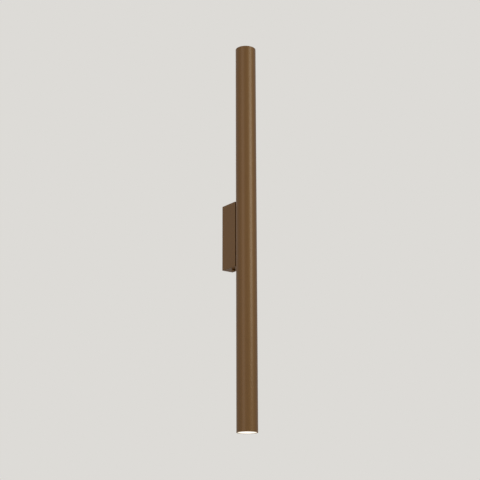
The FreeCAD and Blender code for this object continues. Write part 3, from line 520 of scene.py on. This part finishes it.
def hexagon_nut(seat, outward, thread, flats, height):
    """Rings of a nut: its lower face, its hexagonal side and its upper face, then back down the bore.
    The chamfer starts on a circle just inside the flats and drops by the distance beyond it times the
    tangent of 30 degrees, so it leaves arcs on the flats."""
    hexagon = hexagon_radius(PLAIN_SCREW_SIDES, flats)
    circle = np.full_like(hexagon, flats * CHAMFER_CIRCLE_OF_FLATS)
    bore = np.full_like(hexagon, thread / 2)
    chamfer = (hexagon - circle) * math.tan(NUT_CHAMFER)
    foot, top = np.zeros_like(bore), np.full_like(bore, height)
    radius = np.vstack([bore, circle, hexagon, hexagon, circle, bore])
    rise = np.vstack([foot, foot, chamfer, height - chamfer, top, top])
    return on_seat(radius, rise, seat, outward)


def stud_and_nut(place, thread, flats):
    """The welded stud and the nut of the block or of the earth, both along the way to the wall."""
    stud_low, stud_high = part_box(place + "_stud")
    nut_low, nut_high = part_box(place + "_nut")
    middle = (stud_low.z + stud_high.z) / 2
    shank = threaded_shank(PLAIN_SCREW_SIDES, thread, stud_high.y - stud_low.y)
    stud = on_seat(*shank, (0, stud_low.y, middle), (0, -1, 0))
    screws(place + "_stud", place + "_stud_threaded", [stud])
    nut = hexagon_nut((0, nut_low.y, middle), (0, 1, 0), thread, flats, nut_high.y - nut_low.y)
    fit(place + "_nut_chamfered", grid_mesh(place + "_nut_chamfered", [nut], close_rows=True), zinc,
        place + "_nut")


# Polyamide: matt, slightly warm white, with an eroded grain of 0.2 mm drawn 0.6 mm wide.
polyamide = moulded("moulded white polyamide", "#dcdbd4", "#ebeae4", 0.6 * MM, 0.5, 0.02 * MM)
# Brass drawn through a die: yellow, half bright, with faint clouds 3 mm wide from handling.
brass = worked_metal("drawn brass", "#b9923f", "#d0aa58", cloud=3 * MM, smoothest=0.25,
                     roughest=0.4, relief=0.15)
fit_rounded("terminal_block", "moulded", 0.2 * MM, polyamide)
fit_rounded("terminal_sleeves", "drawn", 0.12 * MM, brass)
stud_and_nut("block", thread=2.9 * MM, flats=5.5 * MM)
low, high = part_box("terminal_screws")
screw_radius = 1.2 * MM
top_part = 0.6 * MM
screws("terminal_screws", "terminal_screws_slotted", [
    driven_screw(seat=(x, high.y - top_part, z), outward=(0, 1, 0), thread=2 * screw_radius,
                 head=2 * screw_radius, height=top_part, length=high.y - low.y - top_part, drive="slot")
    for x in (low.x + screw_radius, 0, high.x - screw_radius)
    for z in (low.z + screw_radius, high.z - screw_radius)])

# ---------------------------------------------------------------------------------------------------
# Earth. A stud welded to the box above the bush, and a tinned ring terminal crimped onto the earth
# lead and held by a nut.
# ---------------------------------------------------------------------------------------------------
# Tin over copper: a soft grey-white metal, dulled where the crimping tool pressed it.
tin = worked_metal("tinned copper", "#b7b4ac", "#cbc9c2", cloud=2 * MM, smoothest=0.3,
                   roughest=0.45, relief=0.15)
fit_rounded("earth_ring_terminal", "tinned", 0.1 * MM, tin)
stud_and_nut("earth", thread=3.9 * MM, flats=7.0 * MM)

# ---------------------------------------------------------------------------------------------------
# Leads. Live, neutral and earth in PVC, from the terminals through the bush or to the earth stud, and
# a sleeved pair from the driver to each light module. All are held at both ends, with easy bends.
# ---------------------------------------------------------------------------------------------------
LEAD_SIDES = 32
BEND_STEPS = 17
BEND_SHARE = 0.45
CORE_DIAMETER = 2.0 * MM
SLEEVE_DIAMETER = 4.0 * MM
YARN_STEP = 0.8 * MM
YARNS_IN_HALF_TURN = 16


def lead(route, diameter):
    """Rings of a round lead along a route in millimetres. At each corner the path is the arc that
    touches both of its runs at 0.45 of the shorter one from the corner. Its radius is that reach over
    the tangent of half the turn, and its centre lies on the corner's bisector, at the radius over the
    cosine of half the turn. Every ring stands square to the path."""
    route = np.array(route) * MM
    runs = np.diff(route, axis=0)
    lengths = np.linalg.norm(runs, axis=1, keepdims=True)
    heading = runs / lengths
    reach = BEND_SHARE * np.minimum(lengths[:-1], lengths[1:])
    half_turn = np.arccos((heading[:-1] * heading[1:]).sum(axis=1, keepdims=True)) / 2
    radius = reach / np.tan(half_turn)
    inward = heading[1:] - heading[:-1]
    inward /= np.linalg.norm(inward, axis=1, keepdims=True)
    onward = heading[1:] + heading[:-1]
    onward /= np.linalg.norm(onward, axis=1, keepdims=True)
    centre = route[1:-1] + inward * radius / np.cos(half_turn)
    angle = half_turn[:, :, None] * np.linspace(-1, 1, BEND_STEPS)[None, :, None]
    from_centre = np.sin(angle) * onward[:, None] - np.cos(angle) * inward[:, None]
    bends = centre[:, None] + radius[:, None] * from_centre
    tangents = np.cos(angle) * onward[:, None] + np.sin(angle) * inward[:, None]
    path = np.vstack([route[:1], bends.reshape(-1, 3), route[-1:]])
    tangent = np.vstack([heading[:1], tangents.reshape(-1, 3), heading[-1:]])
    side = np.cross(tangent, (1.0, 0.0, 0.0))
    side /= np.linalg.norm(side, axis=1, keepdims=True)
    turn = np.linspace(0, 2 * np.pi, LEAD_SIDES, endpoint=False)[None, :, None]
    ring = np.cos(turn) * side[:, None] + np.sin(turn) * np.cross(tangent, side)[:, None]
    return path[:, None] + diameter / 2 * ring


def striped_insulation():
    """Green PVC with a yellow stripe that covers a third of it and runs along the lead, which is where
    the surface faces within 60 degrees of one side. A faint mottle 1.2 mm wide, as on the others."""
    material, tree, spot = new_material("green and yellow PVC insulation")
    stripe_edge, softness = math.cos(math.radians(60)), 0.06
    grain = add(tree, "ShaderNodeTexNoise", {"Vector": spot, "Scale": 1 / (1.2 * MM)})
    facing = add(tree, "ShaderNodeAttribute", {}, attribute_name="facing")
    stripe = add(tree, "ShaderNodeMapRange", {
        "Value": facing.outputs["Fac"], "From Min": stripe_edge - softness,
        "From Max": stripe_edge + softness})
    green = add(tree, "ShaderNodeMix",
                {"Factor": grain, "A": linear("#1f7a3a"), "B": linear("#2b8a45")}, data_type="RGBA")
    yellow = add(tree, "ShaderNodeMix",
                 {"Factor": grain, "A": linear("#d2c02a"), "B": linear("#e0d040")}, data_type="RGBA")
    colour = add(tree, "ShaderNodeMix", {"Factor": stripe, "A": green, "B": yellow}, data_type="RGBA")
    roughness = add(tree, "ShaderNodeMapRange", {"Value": grain, "To Min": 0.36, "To Max": 0.48})
    shader = add(tree, "ShaderNodeBsdfPrincipled",
                 {"Base Color": colour, "Roughness": roughness, "IOR": 1.5})
    add(tree, "ShaderNodeOutputMaterial", {"Surface": shader})
    return material


def woven_sleeve():
    """A glass fibre sleeve with a silicone skin over each pair: off-white yarns 0.35 mm apart that wind
    both ways, at 26 degrees to its length, felt as a soft diamond relief under the skin. The relief is
    the sine of the way round plus the way along, times the sine of the way round less the way along:
    a yarn every 0.8 mm along the sleeve, and 16 in half of the way round it."""
    material, tree, spot = new_material("silicone coated glass sleeve")
    around = add(tree, "ShaderNodeAttribute", {}, attribute_name="around")
    apart = add(tree, "ShaderNodeSeparateXYZ", {0: spot})
    rising = add(tree, "ShaderNodeMath",
                 {0: apart.outputs["Z"], 1: math.pi / YARN_STEP}, operation="MULTIPLY")
    winding = add(tree, "ShaderNodeMath",
                  {0: around.outputs["Fac"], 1: math.pi * YARNS_IN_HALF_TURN}, operation="MULTIPLY")
    waves = []
    for way in ("ADD", "SUBTRACT"):
        phase = add(tree, "ShaderNodeMath", {0: winding, 1: rising}, operation=way)
        waves.append(add(tree, "ShaderNodeMath", {0: phase}, operation="SINE"))
    yarns = add(tree, "ShaderNodeMath", {0: waves[0], 1: waves[1]}, operation="MULTIPLY")
    relief = add(tree, "ShaderNodeMapRange", {"Value": yarns, "From Min": -1.0, "From Max": 1.0})
    colour = add(tree, "ShaderNodeMix",
                 {"Factor": relief, "A": linear("#cfccc1"), "B": linear("#e8e5dc")}, data_type="RGBA")
    bump = add(tree, "ShaderNodeBump", {"Height": relief, "Strength": 0.5, "Distance": 0.1 * MM})
    shader = add(tree, "ShaderNodeBsdfPrincipled", {
        "Base Color": colour, "Normal": bump, "Roughness": 0.55, "IOR": 1.42})
    add(tree, "ShaderNodeOutputMaterial", {"Surface": shader})
    return material


def run_lead(node, finish, route, diameter, material):
    """Makes a lead with two numbers at each point, for its pattern: "facing", the cosine of the angle
    round the section, and "around", which rises evenly from 0 to 1 over half of the way round and
    falls back to 0 over the rest."""
    name = node + "_" + finish
    rings = lead(route, diameter)
    mesh = grid_mesh(name, [rings], cap_ends=True)
    turn = np.linspace(0, 2 * np.pi, LEAD_SIDES, endpoint=False)
    for attribute, values in (("facing", np.cos(turn)), ("around", 1 - np.abs(turn / np.pi - 1))):
        data = mesh.attributes.new(attribute, "FLOAT", "POINT").data
        data.foreach_set("value", np.tile(values, len(rings)).astype(np.float32))
    fit(name, mesh, material, node)


# PVC insulation: smooth from the die, with a low gloss and a faint mottle about 1 mm wide.
brown_pvc = moulded("brown PVC insulation", "#4a2a18", "#5a3521", 1.2 * MM, 0.42, 0.01 * MM)
blue_pvc = moulded("blue PVC insulation", "#1c4b94", "#2660ad", 1.2 * MM, 0.42, 0.01 * MM)
glass_sleeve = woven_sleeve()
for node, side, material, slot in (("live_lead", -1, brown_pvc, "brown_insulation"),
                                   ("neutral_lead", 1, blue_pvc, "blue_insulation")):
    run_lead(node, "insulated", [
        (side * 6.8, -34.0, -26.5), (side * 6.8, -34.0, -17.0), (side * 1.6, -34.0, 0.0),
        (side * 1.6, -60.7, 0.0), (side * 1.6, -60.7, 59.0)], CORE_DIAMETER, material)
run_lead("earth_lead", "insulated", [
    (0.0, -34.0, -26.5), (0.0, -34.0, -17.0), (0.0, -25.0, 1.0), (0.0, -38.6, 24.0),
    (0.0, -38.6, 35.8)], CORE_DIAMETER, striped_insulation())
run_lead("upper_lead", "sleeved", [
    (4.0, -60.7, 175.0), (4.0, -60.7, 205.0), (0.0, -62.0, 275.0), (0.0, -62.0, 375.1)],
    SLEEVE_DIAMETER, glass_sleeve)
run_lead("lower_lead", "sleeved", [
    (-4.0, -60.7, 175.0), (-4.0, -60.7, 191.0), (0.0, -76.0, 191.0), (0.0, -76.0, -120.0),
    (0.0, -62.0, -240.0), (0.0, -62.0, -375.1)], SLEEVE_DIAMETER, glass_sleeve)

# ---------------------------------------------------------------------------------------------------
# Driver. A sealed supply in a two-part moulded polycarbonate case, tied to a zinc plated strip that
# two screws hold to the saddle.
# ---------------------------------------------------------------------------------------------------
SMALL_SCREW = 2.9 * MM
SMALL_HEAD = 5.5 * MM
SMALL_HEAD_HEIGHT = 2.0 * MM
# Polycarbonate: white, a little glossier than the block, with an eroded grain drawn 0.9 mm wide.
polycarbonate = moulded("moulded white polycarbonate", "#dfdfdb", "#eaeae6", 0.9 * MM, 0.4, 0.02 * MM)
fit_rounded("led_driver", "moulded", 0.15 * MM, polycarbonate)
fit_rounded("driver_carrier", "plated", 0.12 * MM, zinc)
low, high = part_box("carrier_screws")
middle = (low.z + high.z) / 2
screws("carrier_screws", "carrier_screws_crossed", [
    driven_screw(seat=(side * (high.x - SMALL_HEAD / 2), low.y + SMALL_HEAD_HEIGHT, middle),
                 outward=(0, -1, 0), thread=SMALL_SCREW, head=SMALL_HEAD, height=SMALL_HEAD_HEIGHT,
                 length=high.y - low.y - SMALL_HEAD_HEIGHT, drive="cross") for side in (1, -1)])

# ---------------------------------------------------------------------------------------------------
# Light modules, one in each end of the tube. A turned and extruded aluminium heat sink carries a grey
# silicone pad and a white aluminium-core board with six emitters, a socket and two screws.
# ---------------------------------------------------------------------------------------------------
EMITTERS = 6
EMITTER_SIDE = 3.5 * MM
EMITTER_HEIGHT = 0.8 * MM
EMITTER_CIRCLE = 18.0 * MM
EMITTER_SIDES = 48
SQUARENESS = 8
# From the middle of the phosphor pool up its white wall, along the frame's top and down the side: how
# far out each ring is, as a share of half the width, and how high, as a share of the height.
RING_REACH = np.array((0.02, 0.4, 0.62, 0.70, 0.74, 0.97, 1.0, 1.0))
RING_RISE = np.array((0.825, 0.8125, 0.8, 0.975, 1.0, 1.0, 0.95, 0.0))


def emitter(x, y, foot, up):
    """Rings of one emitter, each a rounded square: its radius at an angle is 1 over the eighth root of
    the eighth powers of the angle's cosine and sine added up, times the ring's reach."""
    turn = np.linspace(0, 2 * np.pi, EMITTER_SIDES, endpoint=False)
    powers = np.abs(np.cos(turn)) ** SQUARENESS + np.abs(np.sin(turn)) ** SQUARENESS
    reach = RING_REACH[:, None] * EMITTER_SIDE / 2 / powers ** (1 / SQUARENESS)
    rise = foot + up * np.broadcast_to(RING_RISE[:, None] * EMITTER_HEIGHT, reach.shape)
    return np.stack([x + reach * np.cos(turn), y + reach * np.sin(turn), rise], axis=-1)


def framed_phosphor():
    """A yellow phosphor pool in a white moulded frame. How far a point is from the pool's middle comes
    with the mesh. The pool has a fine grain of phosphor, drawn 0.3 mm wide, under clear silicone."""
    material, tree, spot = new_material("yellow phosphor in a white frame")
    grain = add(tree, "ShaderNodeTexNoise", {"Vector": spot, "Scale": 1 / (0.3 * MM)})
    away = add(tree, "ShaderNodeAttribute", {}, attribute_name="away")
    frame_share = add(tree, "ShaderNodeMapRange",
                      {"Value": away.outputs["Fac"], "From Min": 0.64, "From Max": 0.68})
    pool = add(tree, "ShaderNodeMix",
               {"Factor": grain, "A": linear("#dfae2c"), "B": linear("#ecc44c")}, data_type="RGBA")
    colour = add(tree, "ShaderNodeMix",
                 {"Factor": frame_share, "A": pool, "B": linear("#eeede8")}, data_type="RGBA")
    roughness = add(tree, "ShaderNodeMapRange", {"Value": grain, "To Min": 0.25, "To Max": 0.4})
    shader = add(tree, "ShaderNodeBsdfPrincipled",
                 {"Base Color": colour, "Roughness": roughness, "IOR": 1.45})
    add(tree, "ShaderNodeOutputMaterial", {"Surface": shader})
    return material


# Silicone heat pad: soft, matt, blue-grey. White solder mask: smooth and half bright.
heat_pad = moulded("silicone heat pad", "#7d8794", "#8b95a2", 0.9 * MM, 0.7, 0.02 * MM)
solder_mask = moulded("white solder mask", "#e4e3de", "#efeeea", 2.0 * MM, 0.3, 0.01 * MM)
phosphor = framed_phosphor()
turns = np.linspace(0, 2 * np.pi, EMITTERS, endpoint=False) + np.pi / EMITTERS
for end, up in (("upper", 1), ("lower", -1)):
    for node, material, slot, rounding in (
            ("heat_sink", aluminium, "plain_aluminium", 0.12 * MM),
            ("thermal_pad", heat_pad, "thermal_pad", 0.05 * MM),
            ("led_board", solder_mask, "white_board", 0.08 * MM),
            ("board_socket", polyamide, "white_plastic", 0.12 * MM)):
        fit_rounded(end + "_" + node, "finished", rounding, material)
    low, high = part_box(end + "_led_chips")
    foot = low.z if up == 1 else high.z
    places = np.column_stack([np.cos(turns), np.sin(turns)]) * EMITTER_CIRCLE / 2 + (0, tube_y)
    name = end + "_led_chips_framed"
    mesh = grid_mesh(name, [emitter(x, y, foot, up) for x, y in places], cap_ends=True)
    data = mesh.attributes.new("away", "FLOAT", "POINT").data
    data.foreach_set("value", np.tile(np.repeat(RING_REACH, EMITTER_SIDES), EMITTERS))
    fit(name, mesh, phosphor, end + "_led_chips")
    low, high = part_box(end + "_board_screws")
    seat_z = high.z - SMALL_HEAD_HEIGHT if up == 1 else low.z + SMALL_HEAD_HEIGHT
    screws(end + "_board_screws", end + "_board_screws_crossed", [
        driven_screw(seat=(side * (high.x - SMALL_HEAD / 2), tube_y, seat_z), outward=(0, 0, up),
                     thread=SMALL_SCREW, head=SMALL_HEAD, height=SMALL_HEAD_HEIGHT,
                     length=high.z - low.z - SMALL_HEAD_HEIGHT, drive="cross") for side in (1, -1)])

# ---------------------------------------------------------------------------------------------------
# Diffusers. Opal acrylic caps, one in each end of the tube, moulded with a satin face and snapped
# onto the heat sink by a bead inside the skirt. They are almost flush with the rim, and lit.
# ---------------------------------------------------------------------------------------------------
CAP_THICKNESS = 2.5 * MM
SKIRT_INSIDE_RADIUS = 16.65 * MM
FACE_ROUNDING = 0.4 * MM
BEAD_FROM_FACE = 11.7 * MM
BEAD_DEPTH = 0.35 * MM
BEAD_HALF_WIDTH = 0.5 * MM
CAP_SIDES = 128
EVEN_LIGHT_RADIUS = 13.0 * MM
LIT_RADIUS = 18.4 * MM
POLE_RADIUS = 0.01 * MM


def lit_opal_acrylic():
    """Opal acrylic over warm white emitters: even light, a little warmer and weaker towards the edge,
    where the skirt takes some of it. The face has its mould's satin grain, drawn 0.5 mm wide."""
    material, tree, spot = new_material("lit opal acrylic")
    flat = add(tree, "ShaderNodeVectorMath", {0: spot, 1: (1.0, 1.0, 0.0), 2: (0.0, -tube_y, 0.0)},
               operation="MULTIPLY_ADD")
    off_axis = add(tree, "ShaderNodeVectorMath", {0: flat}, operation="LENGTH").outputs["Value"]
    edge = add(tree, "ShaderNodeMapRange",
               {"Value": off_axis, "From Min": EVEN_LIGHT_RADIUS, "From Max": LIT_RADIUS},
               interpolation_type="SMOOTHSTEP")
    glow = add(tree, "ShaderNodeMix",
               {"Factor": edge, "A": linear("#fff9f0"), "B": linear("#fff1da")}, data_type="RGBA")
    strength = add(tree, "ShaderNodeMapRange", {"Value": edge, "To Min": 0.66, "To Max": 0.5})
    grain = add(tree, "ShaderNodeTexNoise", {"Vector": spot, "Scale": 1 / (0.5 * MM)})
    bump = add(tree, "ShaderNodeBump", {"Height": grain, "Strength": 0.15, "Distance": 0.01 * MM})
    shader = add(tree, "ShaderNodeBsdfPrincipled", {
        "Base Color": glow, "Emission Color": glow, "Emission Strength": strength, "Normal": bump,
        "Roughness": 0.4, "IOR": 1.49})
    add(tree, "ShaderNodeOutputMaterial", {"Surface": shader})
    return material


opal = lit_opal_acrylic()
for end, up in (("upper", 1), ("lower", -1)):
    cap_low, cap_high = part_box(end + "_diffuser")
    outer = (cap_high.x - cap_low.x) / 2
    face = cap_high.z if up == 1 else cap_low.z
    foot = cap_low.z if up == 1 else cap_high.z
    under = face - up * CAP_THICKNESS
    bead = face - up * BEAD_FROM_FACE
    cap_outline = np.vstack([
        rounded_outline([(0.0, face, 0), (outer, face, FACE_ROUNDING), (outer, foot, 0)])[:-1],
        [(outer, foot), (SKIRT_INSIDE_RADIUS, foot), (SKIRT_INSIDE_RADIUS, bead - up * BEAD_HALF_WIDTH),
         (SKIRT_INSIDE_RADIUS - BEAD_DEPTH, bead), (SKIRT_INSIDE_RADIUS, bead + up * BEAD_HALF_WIDTH),
         (SKIRT_INSIDE_RADIUS, under), (0.0, under)]])
    cap_outline[:, 0] = np.maximum(cap_outline[:, 0], POLE_RADIUS)
    cap = grid_mesh(end + "_diffuser_cap", [turned(cap_outline, (0, tube_y, 0), CAP_SIDES)], cap_ends=True)
    fit(end + "_diffuser_cap", cap, opal, end + "_diffuser")

# ---------------------------------------------------------------------------------------------------
# Stage. A pale floor a metre below the middle of the light, two soft lamps and a pale surround. What
# the camera, metal and glass see of the surround is its own colour; its light is softer than that.
# ---------------------------------------------------------------------------------------------------
FLOOR_Z = -1.0
FLOOR_REACH = 20.0
SURROUND = "#dddbd7"
AMBIENT_STRENGTH = 0.55
FLOOR_GLOW = 0.33


def pale_floor():
    """Painted floor: a matt pale grey with faint clouds a third of a metre wide. The camera also sees
    a little of the surround's colour on it, so that the two meet softly and its shadows stay."""
    material, tree, spot = new_material("pale floor paint")
    clouds = add(tree, "ShaderNodeTexNoise", {"Vector": spot, "Scale": 3.0})
    colour = add(tree, "ShaderNodeMix",
                 {"Factor": clouds, "A": linear("#f1efeb"), "B": linear("#f5f3f0")}, data_type="RGBA")
    ray = add(tree, "ShaderNodeLightPath", {})
    glow = add(tree, "ShaderNodeMath",
               {0: ray.outputs["Is Camera Ray"], 1: FLOOR_GLOW}, operation="MULTIPLY")
    shader = add(tree, "ShaderNodeBsdfPrincipled", {
        "Base Color": colour, "Roughness": 0.9, "Emission Color": linear(SURROUND),
        "Emission Strength": glow})
    add(tree, "ShaderNodeOutputMaterial", {"Surface": shader})
    return material


def pale_surround():
    """The surround as the camera and mirrored rays see it, and weaker where it only gives light."""
    world = bpy.data.worlds.new("pale surround")
    world.use_nodes = True
    tree = world.node_tree
    tree.nodes.clear()
    ray = add(tree, "ShaderNodeLightPath", {})
    seen = add(tree, "ShaderNodeMath",
               {0: ray.outputs["Is Camera Ray"], 1: ray.outputs["Is Glossy Ray"]}, operation="MAXIMUM")
    seen = add(tree, "ShaderNodeMath", {0: seen, 1: ray.outputs["Is Transmission Ray"]}, operation="MAXIMUM")
    light = add(tree, "ShaderNodeBackground", {"Color": linear("#f2f1ee"), "Strength": AMBIENT_STRENGTH})
    shown = add(tree, "ShaderNodeBackground", {"Color": linear(SURROUND), "Strength": 1.0})
    mixed = add(tree, "ShaderNodeMixShader", {0: seen, 1: light, 2: shown})
    add(tree, "ShaderNodeOutputWorld", {"Surface": mixed})
    return world


def softbox(name, azimuth, elevation, distance, width, height, power, colour):
    """A rectangular lamp, its sizes in metres and its power in watts, that looks at the middle of the
    light from a direction in degrees: azimuth 0 is straight in front of the wall, and positive
    azimuths lie to the right of that."""
    lamp = bpy.data.lights.new(name, "AREA")
    lamp.shape = "RECTANGLE"
    lamp.size = width
    lamp.size_y = height
    lamp.energy = power
    lamp.color = linear(colour)[:3]
    a, e = math.radians(azimuth), math.radians(elevation)
    away = Vector((math.sin(a) * math.cos(e), -math.cos(a) * math.cos(e), math.sin(e)))
    item = bpy.data.objects.new(name, lamp)
    bpy.context.scene.collection.objects.link(item)
    item.location = away * distance
    item.rotation_euler = away.to_track_quat("Z", "Y").to_euler()


floor_mesh = bpy.data.meshes.new("floor")
corners = FLOOR_REACH * np.array([(-1, -1, 0), (1, -1, 0), (1, 1, 0), (-1, 1, 0)]) + (0, 0, FLOOR_Z)
floor_mesh.from_pydata(corners.tolist(), [], [(0, 1, 2, 3)])
floor_mesh.materials.append(pale_floor())
floor = bpy.data.objects.new("floor", floor_mesh)
bpy.context.scene.collection.objects.link(floor)
floor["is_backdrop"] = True
bpy.context.scene.world = pale_surround()
softbox("key", azimuth=16, elevation=20, distance=2.7, width=1.2, height=1.4, power=21,
        colour="#fbffee")
softbox("fill", azimuth=-72, elevation=14, distance=3.0, width=1.5, height=2.6, power=14,
        colour="#fff4e6")

# ---------------------------------------------------------------------------------------------------
# Camera. It stands to the left of the light and lower than its bottom end, and looks up at it, as in
# the photograph. Lengths are in metres, and the focal length is in pixels of a frame 480 wide.
# ---------------------------------------------------------------------------------------------------
CAMERA_DISTANCE = 2.1377
CAMERA_SIDE = math.radians(36.627)
CAMERA_BELOW_END = 0.2535
LOOK_SIDE = math.radians(36.297)
LOOK_UP = math.radians(16.186)
ROLL = math.radians(-0.161)
FOCAL_PIXELS = 1161.2
FRAME_PIXELS = 480
camera_data = bpy.data.cameras.new("camera")
camera_data.sensor_width = 36.0
camera_data.lens = FOCAL_PIXELS / FRAME_PIXELS * camera_data.sensor_width
camera_data.clip_end = 100.0
camera = bpy.data.objects.new("camera", camera_data)
bpy.context.scene.collection.objects.link(camera)
forward = Vector((math.sin(LOOK_SIDE) * math.cos(LOOK_UP), math.cos(LOOK_SIDE) * math.cos(LOOK_UP),
                  math.sin(LOOK_UP)))
level = Vector((math.cos(LOOK_SIDE), -math.sin(LOOK_SIDE), 0))
upward = level.cross(forward)
right = math.cos(ROLL) * level + math.sin(ROLL) * upward
above = -math.sin(ROLL) * level + math.cos(ROLL) * upward
place = Vector((-math.sin(CAMERA_SIDE) * CAMERA_DISTANCE,
                tube_y - math.cos(CAMERA_SIDE) * CAMERA_DISTANCE, tube_low.z - CAMERA_BELOW_END))
camera.matrix_world = Matrix.Translation(place) @ Matrix((right, above, -forward)).transposed().to_4x4()
bpy.context.scene.camera = camera
bpy.context.scene.view_settings.view_transform = "Standard"

low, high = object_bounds()
